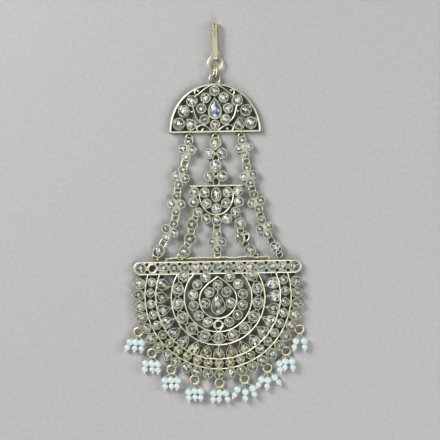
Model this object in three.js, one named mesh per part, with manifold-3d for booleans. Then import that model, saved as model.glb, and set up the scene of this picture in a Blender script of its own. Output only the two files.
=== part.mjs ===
// A passa: a flat jewel worn on the side of the head. A pin hook and a half-round plaque stand at
// the top, three strands of set stones fall from it, a small shield plaque hangs on the middle one,
// and all of them carry a wide crescent plaque fringed with nine drops of little pearls.
// It lies face up on its flat back: +Y runs up the jewel to the hook and +Z out of the stones.
import * as THREE from "three";
import { mergeVertices } from "three/addons/utils/BufferGeometryUtils.js";
import Module from "manifold-3d";

const wasm = await Module();
wasm.setup();
const { Manifold } = wasm;

// ---- driving dimensions, in millimetres ----
const plateTop = 1.5; // back plates and ring loops run from 0 to here
const bezelTop = 2.1; // rim of every setting
const crownTop = 2.8; // flat table of every stone
const tableShare = 0.6; // a table's width against its stone's
const wallThickness = 0.35; // walls of the loops that hold rings
const loopWidth = 0.56;
const loopFloor = 0.3; // metal left under a ring
const loopRoof = 1.3; // metal starts again above a ring
const windowHalf = 0.6; // half the length of a loop's window
const linkWire = 0.28; // wire radius of the strands' rings
const linkHalfWidth = 1.22;
const ringLift = 0.8; // height of the rings' middle plane
const stoneRound = 2.0; // radius of a common round setting

// Crescent plaque: rows of settings round one centre, counted from the bottom.
const crescent = {
  rim: 32.7,
  rimCentre: 0.5,
  barBottom: 8.75,
  barTop: 14.25,
  barHalf: 33.7,
  barStones: 15,
  barStep: 4.34,
  emptyBarStone: 1,
};
const rows = {
  outer: { centre: 0.5, radius: 31.8, count: 25, step: 8.25, across: 2.05, along: 2.1 },
  pears: { centre: -0.6, radius: 22.2, count: 17, step: 13, across: 2.35, along: 2.9 },
  lenses: { centre: -0.6, radius: 16.3, count: 13, step: 20.5, across: 2.85, along: 2.35 },
  inner: { centre: -1.2, radius: 10.1, count: 13, step: 25.2 },
};
const emptyInnerStone = 6; // a stone has fallen out here, and its setting is an open hole
const crescentHeart = [
  { x: 0, y: 4.5 },
  { x: 3.4, y: 1.6 },
  { x: -3.4, y: 1.6 },
  { x: 5.1, y: -2.7 },
  { x: -5.1, y: -2.7 },
];
const heartPear = { x: 0, y: -3.2, halfWidth: 2.85, halfLength: 4.5 };

// Shield plaque under the middle strand.
const shield = {
  barY: 44.2,
  barHalf: 10.7,
  barWide: 0.7,
  stones: [
    { x: 8.8, y: 41.8 },
    { x: 4.65, y: 41.5 },
    { x: 9.0, y: 37.65 },
    { x: 3.9, y: 37.05 },
    { x: 7.55, y: 33.6 },
    { x: 4.2, y: 30.9 },
  ],
  middle: { x: 0, y: 35.0 },
  oval: { x: 0, y: 40.5, halfWidth: 2.2, halfLength: 3.0 },
  foot: { x: 0, y: 30.1 },
};

// Half-round plaque at the top.
const crown = {
  baseY: 65.9,
  halfWidth: 18.2,
  height: 19.15,
  petals: [
    { x: 0, y: 82.1 },
    { x: 3.6, y: 79.35 },
    { x: 5.4, y: 75.1 },
    { x: 4.15, y: 70.6 },
    { x: 0, y: 68.5 },
    { x: -4.15, y: 70.6 },
    { x: -5.4, y: 75.1 },
    { x: -3.6, y: 79.35 },
  ],
  pear: { x: 0, y: 75.1, halfWidth: 2.8, halfLength: 4.4 },
  sides: [
    { x: 9.15, y: 78.25, radius: 2.35 },
    { x: 12.55, y: 74.3, radius: 2.4 },
    { x: 14.6, y: 69.2, radius: 2.5 },
  ],
  leaf: { x: 9.7, y: 69.0, halfWidth: 2.2, halfLength: 2.6 },
  loop: { x: 0.15, y: 86.75, radius: 2.1, wire: 0.4, z: 1.2 },
};
// Openings in one half of it, between the rim, the stones and the scrolls. The other half mirrors.
const crownOpenings = {
  aboveScroll: [[3.0, 83.7], [6.5, 82.5], [9.6, 80.9], [8.3, 80.7], [6.4, 81.6]],
  underScroll: [[2.3, 83.1], [4.4, 81.9], [6.7, 80.2], [6.1, 79.6], [4.9, 81.0], [2.4, 82.3]],
  upperFrame: [[10.7, 80.2], [13.4, 77.6], [11.9, 76.9], [11.6, 77.6]],
  lowerFrame: [[15.0, 75.3], [16.4, 72.0], [15.6, 71.9], [14.9, 73.2]],
  insideArc: [[7.9, 75.6], [8.0, 74.2], [7.4, 72.5], [6.5, 71.2], [6.3, 72.6], [7.4, 74.2]],
  outsideArc: [[9.0, 75.4], [9.9, 74.6], [10.1, 73.0], [8.8, 71.6], [8.8, 74.2]],
  insideLeaf: [[7.6, 70.5], [7.5, 69.4], [6.9, 68.0], [6.3, 69.3]],
  underLeaf: [[8.6, 66.7], [7.3, 67.4], [5.9, 66.7]],
  underPetal: [[4.9, 68.2], [5.9, 67.8], [4.9, 66.7], [3.2, 66.7]],
  leafFoot: [[11.2, 66.7], [13.2, 66.7], [12.0, 67.8]],
};

const hook = {
  x: 0.58,
  width: 2.3,
  eyeY: 95.8,
  eyeZ: 1.33,
  eyeRadius: 1.33,
  eyeHole: 0.95,
  topY: 109.5,
  thickness: 0.6,
  frontZ: 2.66, // top of the front leaf
  tipY: 98.6, // where the back leaf ends
  slitLength: 4.6,
  slitWidth: 0.6,
};
const hookRing = { x: 0.47, y: 93.15, radius: 2.85, wire: 0.45, z: 1.35 };
const pairRings = { y: 89.5, halfLength: 1.95, halfHeight: 1.1, wire: 0.25, spread: 0.5, lean: 5 };

// Side strands: each quatrefoil link by its middle and its lean from straight down, in degrees.
const strands = {
  left: {
    from: { x: -10.35, y: 64.95 },
    links: [
      { x: -11.18, y: 58.88, lean: -10.8 },
      { x: -14.09, y: 47.78, lean: -17.6 },
      { x: -16.0, y: 37.09, lean: -3.4 },
      { x: -18.74, y: 26.4, lean: -30.5 },
    ],
    drop: { x: -23.4, y: 18.4, lean: -28.6 },
    to: { x: -25.3, y: 14.95 },
  },
  right: {
    from: { x: 10.4, y: 65.05 },
    links: [
      { x: 11.27, y: 59.14, lean: 9.9 },
      { x: 13.08, y: 48.03, lean: 12.4 },
      { x: 15.94, y: 37.41, lean: 17.4 },
      { x: 19.04, y: 27.16, lean: 20.5 },
    ],
    drop: { x: 23.45, y: 18.95, lean: 30 },
    to: { x: 25.3, y: 14.95 },
  },
};
const petalRadius = 1.65;
const petalAlong = 3.1; // a link's end stones from its middle
const petalAcross = 1.9; // and its side stones
const windowAlong = 3.65;
const dropSize = { halfWidth: 2.35, halfLength: 2.8, windowAlong: 1.65 };

// Middle strand.
const trefoils = [
  { x: 0.08, y: 61.3 },
  { x: -0.02, y: 52.2 },
];
const trefoilHead = 2.35;
const trefoilFoot = { x: 2.5, y: -4.3, radius: 2.2 };
const footLink = { x: 0, y: 21.75, lean: 0 };
const railY = 15.5;
const railHalf = 20.6;
const railFoot = { x: 0.05, y: 14.95 };

// Inner strands, from the shield plaque down to the rail.
const innerRadius = 2.5;
const innerFloor = 0.65; // underside of their settings
const innerStrands = {
  left: {
    from: { x: -8.15, y: 32.3, lean: -27 },
    stones: [
      { x: -9.9, y: 28.9, turned: 0 },
      { x: -10.72, y: 23.1, turned: 0 },
      { x: -13.1, y: 18.0, turned: 0 },
    ],
    to: { x: -15.6, y: 14.95 },
  },
  right: {
    from: { x: 8.15, y: 32.3, lean: 27 },
    stones: [
      { x: 9.3, y: 28.9, turned: 0 },
      { x: 9.7, y: 23.1, turned: 180 },
      { x: 13.1, y: 18.1, turned: 0 },
    ],
    to: { x: 15.7, y: 14.95 },
  },
};

// Pearl drops, left to right: where each pin's big pearl sits from the ring's middle, and its lean.
const dropRing = { radius: 1.72, wire: 0.28, reach: 33.6 };
const bigPearl = 1.25;
const smallPearl = 1.0;
const pearlStep = 2.2; // from the big pearl's middle to the small one's
const pinTip = 1.75; // and on to the ball at the pin's end
const pearlDrops = [
  { stone: 4, pins: [[-3.4, -4.3, -28], [-0.9, -4.4, -12], [1.6, -4.6, -6]] },
  { stone: 6, pins: [[-2.6, -4.3, -10], [-0.1, -4.3, 4], [2.5, -4.7, 0]] },
  { stone: 8, pins: [[-2.7, -4.6, 2], [-0.1, -4.5, 2], [2.5, -4.7, -4]] },
  { stone: 10, pins: [[-2.4, -5.2, -1], [0.15, -4.9, 1], [2.7, -5.2, -2]] },
  { stone: 12, pins: [[-2.6, -4.2, -4], [0, -4.25, -6], [2.6, -4.3, 14]] },
  { stone: 14, pins: [[-2.9, -4.2, -30], [0.2, -5.2, 0], [3.2, -3.8, 16]] },
  { stone: 16, pins: [[-2.5, -4.5, -28], [0.1, -4.9, -8], [2.9, -3.8, 37]] },
  { stone: 18, pins: [[-2.8, -5.0, 6], [-0.4, -4.1, -6], [2.3, -4.2, 6]] },
  { stone: 20, pins: [[-1.4, -4.7, -16], [1.9, -4.7, 4]] },
];

const gold = new THREE.MeshStandardMaterial({ color: 0xb9ad78, roughness: 0.35, metalness: 1 });
const jewelled = new THREE.MeshStandardMaterial({ color: 0xc6c2a4, roughness: 0.25, metalness: 0.8 });
const pearly = new THREE.MeshStandardMaterial({ color: 0xe8eee6, roughness: 0.3, metalness: 0.1 });

// ---- solids ----

function solidOf(geometry) {
  const bare = new THREE.BufferGeometry();
  bare.setAttribute("position", geometry.getAttribute("position"));
  if (geometry.index) bare.setIndex(geometry.index);
  const merged = mergeVertices(bare, 1e-4);
  const corners = merged.index.array;
  const kept = [];
  for (let i = 0; i < corners.length; i += 3) {
    const [a, b, c] = [corners[i], corners[i + 1], corners[i + 2]];
    if (a !== b && b !== c && c !== a) kept.push(a, b, c);
  }
  return new Manifold(
    new wasm.Mesh({
      numProp: 3,
      vertProperties: new Float32Array(merged.attributes.position.array),
      triVerts: new Uint32Array(kept),
    }),
  );
}

function geometryOf(solid) {
  const mesh = solid.getMesh();
  const geometry = new THREE.BufferGeometry();
  geometry.setAttribute("position", new THREE.BufferAttribute(mesh.vertProperties, 3));
  geometry.setIndex(new THREE.BufferAttribute(mesh.triVerts, 1));
  geometry.computeVertexNormals();
  return geometry;
}

const join = (solids) => Manifold.union(solids);
const radians = (degrees) => (degrees * Math.PI) / 180;

// A straight-sided prism on a list of [x, y] corners.
function prism(corners, bottom, top) {
  const shape = new THREE.Shape(corners.map(([x, y]) => new THREE.Vector2(x, y)));
  const geometry = new THREE.ExtrudeGeometry(shape, { depth: top - bottom, bevelEnabled: false });
  return solidOf(geometry.translate(0, 0, bottom));
}

// A flat strip of wire along open [x, y] points.
function strip(points, width, bottom, top) {
  const sides = [[], []];
  points.forEach(([x, y], i) => {
    const before = points[Math.max(i - 1, 0)];
    const after = points[Math.min(i + 1, points.length - 1)];
    const length = Math.hypot(after[0] - before[0], after[1] - before[1]);
    const across = [(before[1] - after[1]) / length, (after[0] - before[0]) / length];
    sides[0].push([x + (across[0] * width) / 2, y + (across[1] * width) / 2]);
    sides[1].unshift([x - (across[0] * width) / 2, y - (across[1] * width) / 2]);
  });
  return prism([...sides[0], ...sides[1]], bottom, top);
}

function arc(x, y, radius, from, to, steps, squash = 1) {
  return Array.from({ length: steps + 1 }, (_, i) => {
    const angle = radians(from + ((to - from) * i) / steps);
    return [x + radius * Math.cos(angle), y + radius * squash * Math.sin(angle)];
  });
}

// Outlines of settings inside a square of half-side 1, eight corners each.
const outlines = {
  round: arc(0, 0, 1, 0, 315, 7),
  pear: [
    [1, -0.3],
    [0.64, 0.34],
    [0, 1],
    [-0.64, 0.34],
    [-1, -0.3],
    [-0.7, -0.82],
    [0, -1],
    [0.7, -0.82],
  ],
  lens: [
    [1, 0],
    [0.6, 0.68],
    [0, 1],
    [-0.6, 0.68],
    [-1, 0],
    [-0.6, -0.68],
    [0, -1],
    [0.6, -0.68],
  ],
};

// A set stone: eight facets round a square table, over a wall on the levels that are given.
function facetedShape(place, outline, halfWidth, halfLength, turn, levels) {
  const vertices = [];
  const [c, s] = [Math.cos(radians(turn)), Math.sin(radians(turn))];
  const put = ([u, v], share, z) => {
    const [x, y] = [u * share * halfWidth, v * share * halfLength];
    vertices.push(place.x + x * c - y * s, place.y + x * s + y * c, z);
  };
  for (const level of levels) outline.forEach((corner) => put(corner, 1, level));
  outline.filter((_, i) => i % 2 === 0).forEach((corner) => put(corner, tableShare, crownTop));
  const faces = [];
  for (let i = 1; i < 7; i++) faces.push(0, i + 1, i);
  for (let wall = 0; wall + 1 < levels.length; wall++) {
    for (let i = 0; i < 8; i++) {
      const [here, next] = [wall * 8 + i, wall * 8 + ((i + 1) % 8)];
      faces.push(here, next, next + 8, here, next + 8, here + 8);
    }
  }
  const girdle = (levels.length - 1) * 8;
  const table = girdle + 8;
  for (let k = 0; k < 4; k++) {
    const [here, next] = [table + k, table + ((k + 1) % 4)];
    const [g0, g1, g2] = [0, 1, 2].map((step) => girdle + ((2 * k + step) % 8));
    faces.push(g0, g1, here, g1, next, here, g1, g2, next);
  }
  faces.push(table, table + 1, table + 2, table, table + 2, table + 3);
  const geometry = new THREE.BufferGeometry();
  geometry.setAttribute("position", new THREE.Float32BufferAttribute(vertices, 3));
  geometry.setIndex(faces);
  return geometry;
}

// A low setting that stands on a plate, or over a ring, its rim drawn in towards the table.
function stud(place, outline, halfWidth, halfLength, turn = 0) {
  return solidOf(facetedShape(place, outline, halfWidth, halfLength, turn, [plateTop]));
}

const roundStud = (place, radius, turn = 22.5) =>
  stud(place, outlines.round, radius, radius, turn);

// A point some way down a piece that leans by `lean` degrees from straight down.
function down(piece, distance, sideways = 0) {
  const angle = radians(piece.lean || 0);
  return {
    x: piece.x + Math.sin(angle) * distance + Math.cos(angle) * sideways,
    y: piece.y - Math.cos(angle) * distance + Math.sin(angle) * sideways,
  };
}

// The lean of the line from one point to another.
const leanOf = (a, b) => (Math.atan2(b.x - a.x, a.y - b.y) * 180) / Math.PI;

// A standing plate with a window that a ring passes through. Its window's middle is at the given
// point, it reaches back by `start`, and its free end points along the lean.
function ringLoop(at, lean, start) {
  const piece = { ...at, lean };
  return standingPlate(piece, -start, windowHalf + wallThickness).subtract(windowIn(piece));
}

function standingPlate(piece, from, to) {
  const [a, b] = [down(piece, from), down(piece, to)];
  return strip([[a.x, a.y], [b.x, b.y]], loopWidth, 0, plateTop);
}

function windowIn(piece) {
  const [a, b] = [down(piece, -windowHalf), down(piece, windowHalf)];
  return strip([[a.x, a.y], [b.x, b.y]], loopWidth * 2, loopFloor, loopRoof);
}

// An oval ring lying flat, long side along Y, its two round ends drawn apart.
function ovalRing(halfLength, halfWidth, wire) {
  const sides = 10;
  const bow = halfWidth / Math.cos(Math.PI / sides); // each end is a flat, not a corner
  const torus = new THREE.TorusGeometry(1, wire, 5, sides);
  const spots = torus.getAttribute("position");
  for (let i = 0; i < spots.count; i++) {
    const reach = Math.hypot(spots.getX(i), spots.getY(i));
    const [ux, uy] = [spots.getX(i) / reach, spots.getY(i) / reach];
    const apart = Math.round(uy) * (halfLength - halfWidth);
    spots.setXY(i, ux * (halfWidth + reach - 1), apart + uy * (bow + reach - 1));
  }
  return torus;
}

// Where the ring that joins two loops lies, given the middles of their windows.
function ringBetween(a, b) {
  return {
    x: (a.x + b.x) / 2,
    y: (a.y + b.y) / 2,
    z: ringLift,
    lean: leanOf(a, b),
    half: Math.hypot(b.x - a.x, b.y - a.y) / 2,
  };
}

const root = new THREE.Group();
root.name = "passa";

// Puts a solid, made round its own origin and hanging along -Y, at its place in the jewel.
function add(name, solid, material, place = { x: 0, y: 0 }) {
  const mesh = new THREE.Mesh(geometryOf(solid), material);
  mesh.name = name;
  mesh.position.set(place.x, place.y, place.z || 0);
  mesh.rotation.z = radians(place.lean || 0);
  root.add(mesh);
}

function addRing(name, a, b) {
  const place = ringBetween(a, b);
  add(name, solidOf(ovalRing(place.half, linkHalfWidth, linkWire)), gold, place);
}

// ---- crescent plaque ----

function rowPlace(row, index) {
  const angle = -90 + (index - (row.count - 1) / 2) * row.step;
  return {
    angle,
    x: row.radius * Math.cos(radians(angle)),
    y: row.centre + row.radius * Math.sin(radians(angle)),
  };
}

// A three-cornered gap pointing in or out between two neighbours of a row.
function rowGap(row, index, apex, base, halfBase) {
  const angle = radians(rowPlace(row, index + 0.5).angle);
  const at = (along, across) => [
    along * Math.cos(angle) - across * Math.sin(angle),
    row.centre + along * Math.sin(angle) + across * Math.cos(angle),
  ];
  const flip = base > apex ? 1 : -1;
  return prism([at(apex, 0), at(base, -halfBase * flip), at(base, halfBase * flip)], -1, 2);
}

const solidHole = (x, y, radius) => prism(arc(x, y, radius, 22.5, 337.5, 7), -1, 2);

// The bowl's edge follows the outer settings, and draws back under those that carry a ring.
function crescentBowl() {
  const { rim, rimCentre, barBottom } = crescent;
  const { outer } = rows;
  const carrying = pearlDrops.map((drop) => drop.stone);
  const corners = [];
  for (let i = -1; i <= outer.count; i++) {
    const { angle } = rowPlace(outer, i);
    const reach = i < 0 || i === outer.count || carrying.includes(i) ? rim : rim + 0.8;
    for (const share of [-0.4, 0.4]) {
      const turn = radians(angle + share * outer.step);
      const point = [reach * Math.cos(turn), rimCentre + reach * Math.sin(turn)];
      if (point[1] < barBottom + 0.3) corners.push(point);
    }
  }
  const [first, last] = [corners[0], corners[corners.length - 1]];
  return prism([[first[0], barBottom + 0.5], ...corners, [last[0], barBottom + 0.5]], 0, plateTop);
}

function crescentPlate() {
  const { barBottom, barTop, barHalf } = crescent;
  const bowl = crescentBowl();
  const end = (barTop - barBottom) / 2;
  const bar = prism(
    [
      ...arc(barHalf - end, barBottom + end, end, -90, 90, 6),
      ...arc(end - barHalf, barBottom + end, end, 90, 270, 6),
    ],
    0,
    plateTop,
  );
  const { pears, lenses, inner } = rows;
  const gaps = [];
  for (let i = 0; i < 16; i++) gaps.push(rowGap(pears, i, 21.9, 19.1, 1.25));
  for (let i = 0; i < 12; i++) {
    gaps.push(rowGap(lenses, i, 16.8, 18.3, 1.9), rowGap(lenses, i, 15.8, 14.0, 1.2));
    gaps.push(rowGap(inner, i, 10.9, 12.8, 1.4));
  }
  for (const side of [-1, 1]) {
    gaps.push(prism([[2.6 * side, 4.6], [3.9 * side, 4.2], [2.9 * side, 6.0]], -1, 2));
    gaps.push(prism([[3.1 * side, -6.9], [3.2 * side, -5.4], [5.0 * side, -5.5]], -1, 2));
  }
  const { barStep, barStones, emptyBarStone } = crescent;
  gaps.push(solidHole((emptyBarStone - (barStones - 1) / 2) * barStep, 11.5, 1.5));
  const lost = rowPlace(inner, emptyInnerStone);
  gaps.push(solidHole(lost.x, lost.y, 1.5));
  return join([bowl, bar]).subtract(join(gaps));
}

function crescentPlaque() {
  const parts = [crescentPlate()];
  const { outer, pears, lenses, inner } = rows;
  const carrying = pearlDrops.map((drop) => drop.stone);
  for (let i = 0; i < outer.count; i++) {
    const place = rowPlace(outer, i);
    if (carrying.includes(i)) {
      parts.push(roundStud(place, outer.across, place.angle));
      parts.push(ringLoop(dropLoopPlace(place.angle), place.angle + 90, 1.4));
    } else {
      parts.push(stud(place, outlines.pear, outer.across, outer.along, place.angle - 90));
    }
  }
  for (let i = 0; i < pears.count; i++) {
    const place = rowPlace(pears, i);
    parts.push(stud(place, outlines.pear, pears.across, pears.along, place.angle + 90));
  }
  for (let i = 0; i < lenses.count; i++) {
    const place = rowPlace(lenses, i);
    parts.push(stud(place, outlines.lens, lenses.across, lenses.along, place.angle + 90));
  }
  for (let i = 0; i < inner.count; i++) {
    if (i !== emptyInnerStone) parts.push(roundStud(rowPlace(inner, i), stoneRound));
  }
  for (const place of crescentHeart) parts.push(roundStud(place, stoneRound));
  parts.push(stud(heartPear, outlines.pear, heartPear.halfWidth, heartPear.halfLength));
  const { barStep, barStones, barBottom, barTop, emptyBarStone } = crescent;
  for (let i = 0; i < barStones; i++) {
    if (i === emptyBarStone) continue;
    const x = (i - (barStones - 1) / 2) * barStep;
    const radius = i % (barStones - 1) ? stoneRound : 2.35;
    parts.push(roundStud({ x, y: (barBottom + barTop) / 2 }, radius));
  }
  return join([...parts, ...railAndLoops()]);
}

const dropLoopPlace = (angle) => ({
  x: dropRing.reach * Math.cos(radians(angle)),
  y: crescent.rimCentre + dropRing.reach * Math.sin(radians(angle)),
});

// The loops on the bar's upper edge that the strands' last rings hang from, and the low rail
// that ties the middle ones together.
function railAndLoops() {
  const ends = [
    [strands.left.to, dropBottom(strands.left)],
    [strands.right.to, dropBottom(strands.right)],
    [innerStrands.left.to, innerStrands.left.stones[2]],
    [innerStrands.right.to, innerStrands.right.stones[2]],
    [railFoot, footLink],
  ];
  const loops = ends.map(([at, towards]) => ringLoop(at, leanOf(at, towards), 1.3));
  const rail = [
    [-railHalf, 13.8],
    [-railHalf, railY],
    [railHalf, railY],
    [railHalf, 13.8],
  ];
  return [...loops, strip(rail, 0.45, 0, loopFloor)];
}

// ---- shield plaque ----

function shieldPlaque() {
  const half = [
    [2.2, 30.6],
    [2.9, 29.6],
    [4.9, 29.4],
    [5.9, 31.4],
    [7.0, 33.7],
    [8.6, 34.9],
    [10.6, 37.0],
    [10.6, 42.6],
    [9.6, 43.4],
  ];
  const plate = prism([...half, ...half.map(([x, y]) => [-x, y]).reverse()], 0, plateTop);
  const gaps = [];
  for (const side of [-1, 1]) {
    const cut = (corners) => gaps.push(prism(corners.map(([x, y]) => [x * side, y]), -1, 2));
    cut([[6.6, 39.7], [7.2, 39.0], [7.1, 40.4]]);
    cut([[5.9, 36.2], [6.4, 35.5], [6.6, 36.9]]);
    cut([[4.2, 33.2], [5.2, 33.0], [5.2, 34.1]]);
    cut([[2.4, 39.4], [2.0, 37.9], [3.0, 39.1]]);
  }
  const parts = [plate.subtract(join(gaps))];
  const bar = [
    [-shield.barHalf, shield.barY],
    [shield.barHalf, shield.barY],
  ];
  parts.push(strip(bar, shield.barWide, loopRoof, bezelTop));
  for (const side of [-1, 1]) {
    parts.push(strip([[8.8 * side, 42.0], [8.8 * side, shield.barY]], 1.4, 0, 1.8));
    for (const { x, y } of shield.stones) parts.push(roundStud({ x: x * side, y }, stoneRound));
  }
  parts.push(roundStud(shield.middle, stoneRound));
  parts.push(stud(shield.oval, outlines.round, shield.oval.halfWidth, shield.oval.halfLength));
  parts.push(roundStud(shield.foot, stoneRound));
  parts.push(ringLoop(shieldTopLoop, 180, 2.6), ringLoop(shieldFootLoop, 0, 1.8));
  for (const { from } of Object.values(innerStrands)) parts.push(ringLoop(from, from.lean, 1.9));
  return join(parts);
}

const shieldTopLoop = { x: 0.05, y: 44.0 };
const shieldFootLoop = { x: 0.05, y: 29.0 };

// ---- half-round plaque ----

function crownPlaque() {
  const { baseY, halfWidth, height, petals, pear, sides, leaf, loop } = crown;
  const rim = arc(0, baseY, halfWidth, 0, 180, 24, height / halfWidth);
  const plate = prism([[halfWidth, baseY - 0.4], ...rim, [-halfWidth, baseY - 0.4]], 0, plateTop);
  const gaps = [];
  const parts = [];
  for (const side of [-1, 1]) {
    for (const opening of Object.values(crownOpenings)) {
      gaps.push(prism(opening.map(([x, y]) => [x * side, y]), -1, 2));
    }
    for (const { x, y, radius } of sides) parts.push(roundStud({ x: x * side, y }, radius));
    parts.push(
      stud({ x: leaf.x * side, y: leaf.y }, outlines.pear, leaf.halfWidth, leaf.halfLength),
    );
  }
  for (const place of petals) parts.push(roundStud(place, stoneRound));
  parts.push(stud(pear, outlines.pear, pear.halfWidth, pear.halfLength));
  const topLoop = new THREE.TorusGeometry(loop.radius, loop.wire, 5, 10);
  parts.push(solidOf(topLoop.translate(loop.x, loop.y, loop.z)));
  const loops = [
    [strands.left.from, strands.left.links[0]],
    [strands.right.from, strands.right.links[0]],
    [crownFoot, trefoils[0]],
  ];
  for (const [at, towards] of loops) parts.push(ringLoop(at, leanOf(at, towards), 0.95));
  return join([plate.subtract(join(gaps)), ...parts]);
}

const crownFoot = { x: 0.1, y: 64.95 };

// ---- strands ----

// A standing spine with a window at each end for the rings on either side of a link.
function doubleLoop(along) {
  const end = along + windowHalf + wallThickness;
  const middle = { x: 0, y: 0, lean: 0 };
  const windows = [-along, along].map((y) => windowIn({ x: 0, y, lean: 0 }));
  return standingPlate(middle, -end, end).subtract(join(windows));
}

function quatrefoilLink() {
  const parts = [doubleLoop(windowAlong)];
  for (const side of [-1, 1]) {
    const beside = { x: side * petalAcross, y: 0 };
    parts.push(roundStud({ x: 0, y: side * petalAlong }, petalRadius));
    const levels = [0, bezelTop];
    const cup = facetedShape(beside, outlines.round, petalRadius, petalRadius, 0, levels);
    parts.push(solidOf(cup));
  }
  return join(parts);
}

function dropLink() {
  const { halfWidth, halfLength } = dropSize;
  const parts = [stud({ x: 0, y: 0 }, outlines.round, halfWidth, halfLength)];
  parts.push(strip([[-1.5, 0], [1.5, 0]], 1.5, 0, plateTop));
  parts.push(doubleLoop(dropSize.windowAlong));
  return join(parts);
}

const dropTop = (strand) => down(strand.drop, -dropSize.windowAlong);
const dropBottom = (strand) => down(strand.drop, dropSize.windowAlong);

function trefoilLink() {
  const { x, y, radius } = trefoilFoot;
  const parts = [roundStud({ x: 0, y: 0 }, trefoilHead)];
  for (const side of [-1, 1]) parts.push(roundStud({ x: x * side, y }, radius));
  const half = [
    [1.2, -4.1],
    [1.9, -4.6],
    [3.6, -4.6],
    [3.2, -3.2],
  ];
  const yoke = [...half, ...half.map(([px, py]) => [-px, py]).reverse()];
  parts.push(prism(yoke, 0, plateTop));
  parts.push(ringLoop({ x: 0, y: trefoilTopWindow }, 180, 2.0));
  parts.push(ringLoop({ x: 0, y: trefoilBottomWindow }, 0, 4.2));
  return join(parts);
}

const trefoilTopWindow = 1.15;
const trefoilBottomWindow = -4.9;

// ---- pearl drops ----

// A pin with its two pearls and the ball at its end. It hangs along -Y from the big pearl's
// middle, turned by its lean, and a three-sided stem reaches from the pearl's top to the ring.
function pearlPin([x, y, lean], ringPoint) {
  const sides = 10;
  const levels = [
    [bigPearl * 0.9, bigPearl * 0.5],
    [bigPearl * 0.9, -bigPearl * 0.5],
    [0.42, -bigPearl * 0.96],
    [smallPearl * 1.02, -pearlStep],
  ];
  const vertices = [];
  const turn = new THREE.Matrix4().makeRotationZ(radians(lean)).setPosition(x, y, bigPearl);
  const put = (radius, level, angle, base) => {
    const spot = new THREE.Vector3(radius * Math.cos(angle), level, radius * Math.sin(angle));
    if (base) spot.add(base);
    else spot.applyMatrix4(turn);
    vertices.push(...spot.toArray());
  };
  for (const [radius, level] of levels) {
    for (let i = 0; i < sides; i++) put(radius, level, (2 * Math.PI * i) / sides);
  }
  const tip = levels.length * sides;
  put(0, -pearlStep - pinTip, 0);
  for (let i = 0; i < 3; i++) put(0.24, bigPearl * 0.97, (2 * Math.PI * i) / 3);
  for (let i = 0; i < 3; i++) put(0.2, 0, (2 * Math.PI * i) / 3, ringPoint);
  const faces = [];
  for (let i = 0; i < sides; i++) {
    const next = (i + 1) % sides;
    for (let level = 0; level + 1 < levels.length; level++) {
      const [here, below] = [level * sides, (level + 1) * sides];
      faces.push(here + i, here + next, below + next, here + i, below + next, below + i);
    }
    faces.push(tip - sides + i, tip - sides + next, tip);
    const [stem, nextStem] = [i, i + 1].map((at) => Math.round((3 * at) / sides) % 3);
    faces.push(next, i, tip + 1 + stem);
    if (stem !== nextStem) faces.push(next, tip + 1 + stem, tip + 1 + nextStem);
  }
  for (let i = 0; i < 3; i++) {
    const [here, next] = [tip + 1 + i, tip + 1 + ((i + 1) % 3)];
    faces.push(next, here, next + 3, here, here + 3, next + 3);
  }
  faces.push(tip + 5, tip + 4, tip + 6);
  const geometry = new THREE.BufferGeometry();
  geometry.setAttribute("position", new THREE.Float32BufferAttribute(vertices, 3));
  geometry.setIndex(faces);
  return solidOf(geometry);
}

function pearlDrop({ pins }) {
  const { radius, wire } = dropRing;
  const parts = [solidOf(new THREE.TorusGeometry(radius, wire, 5, 10).translate(0, 0, ringLift))];
  for (const pin of pins) {
    const [sideways, along] = [pin[0] * 0.5, pin[1]];
    const share = radius / Math.hypot(sideways, along);
    const ringPoint = new THREE.Vector3(sideways * share, along * share, ringLift);
    parts.push(pearlPin(pin, ringPoint));
  }
  return join(parts);
}

// ---- hook ----

function hookSolid() {
  const { width, eyeY, eyeZ, eyeRadius, eyeHole, topY, thickness, frontZ, tipY } = hook;
  const bend = frontZ / 2;
  const bendY = topY - bend;
  const inside = frontZ - thickness;
  const shape = new THREE.Shape();
  shape.moveTo(bendY, 0);
  arc(bendY, bend, bend, -60, 90, 5).forEach(([y, z]) => shape.lineTo(y, z));
  const turn = (Math.asin((inside - eyeZ) / eyeRadius) * 180) / Math.PI;
  arc(eyeY, eyeZ, eyeRadius, 90, 360 + turn, 9).forEach(([y, z]) => shape.lineTo(y, z));
  arc(bendY, bend, bend - thickness, 90, -90, 5).forEach(([y, z]) => shape.lineTo(y, z));
  shape.lineTo(tipY, thickness).lineTo(tipY - 0.5, thickness / 2).lineTo(tipY, 0);
  const hole = new THREE.Path();
  hole.setFromPoints(
    arc(eyeY, eyeZ, eyeHole, 0, 324, 9).map(([y, z]) => new THREE.Vector2(y, z)),
  );
  shape.holes.push(hole);
  const leaf = new THREE.ExtrudeGeometry(shape, { depth: width, bevelEnabled: false });
  const [x, y, z] = [0, 1, 2].map((axis) => new THREE.Vector3().setComponent(axis, 1));
  leaf.translate(0, 0, -width / 2);
  leaf.applyMatrix4(new THREE.Matrix4().makeBasis(y, z, x));
  const slit = strip([[0, bendY - hook.slitLength], [0, bendY]], hook.slitWidth, inside - 0.5, 4);
  return solidOf(leaf).subtract(slit);
}

// ---- the jewel ----

add("hook", hookSolid(), gold, { x: hook.x, y: 0 });
const hookLoop = new THREE.TorusGeometry(hookRing.radius, hookRing.wire, 5, 12);
add("hook_ring", solidOf(hookLoop), gold, hookRing);
for (const side of [-1, 1]) {
  const { y, halfLength, halfHeight, wire, spread, lean } = pairRings;
  const upright = ovalRing(halfLength, halfHeight, wire).rotateY(Math.PI / 2);
  const place = { x: 0.3 + side * spread, y, z: 1.38, lean };
  add(side < 0 ? "pair_ring_left" : "pair_ring_right", solidOf(upright), gold, place);
}
add("crown_plaque", crownPlaque(), jewelled);
add("shield_plaque", shieldPlaque(), jewelled);
add("crescent_plaque", crescentPlaque(), jewelled);

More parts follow.
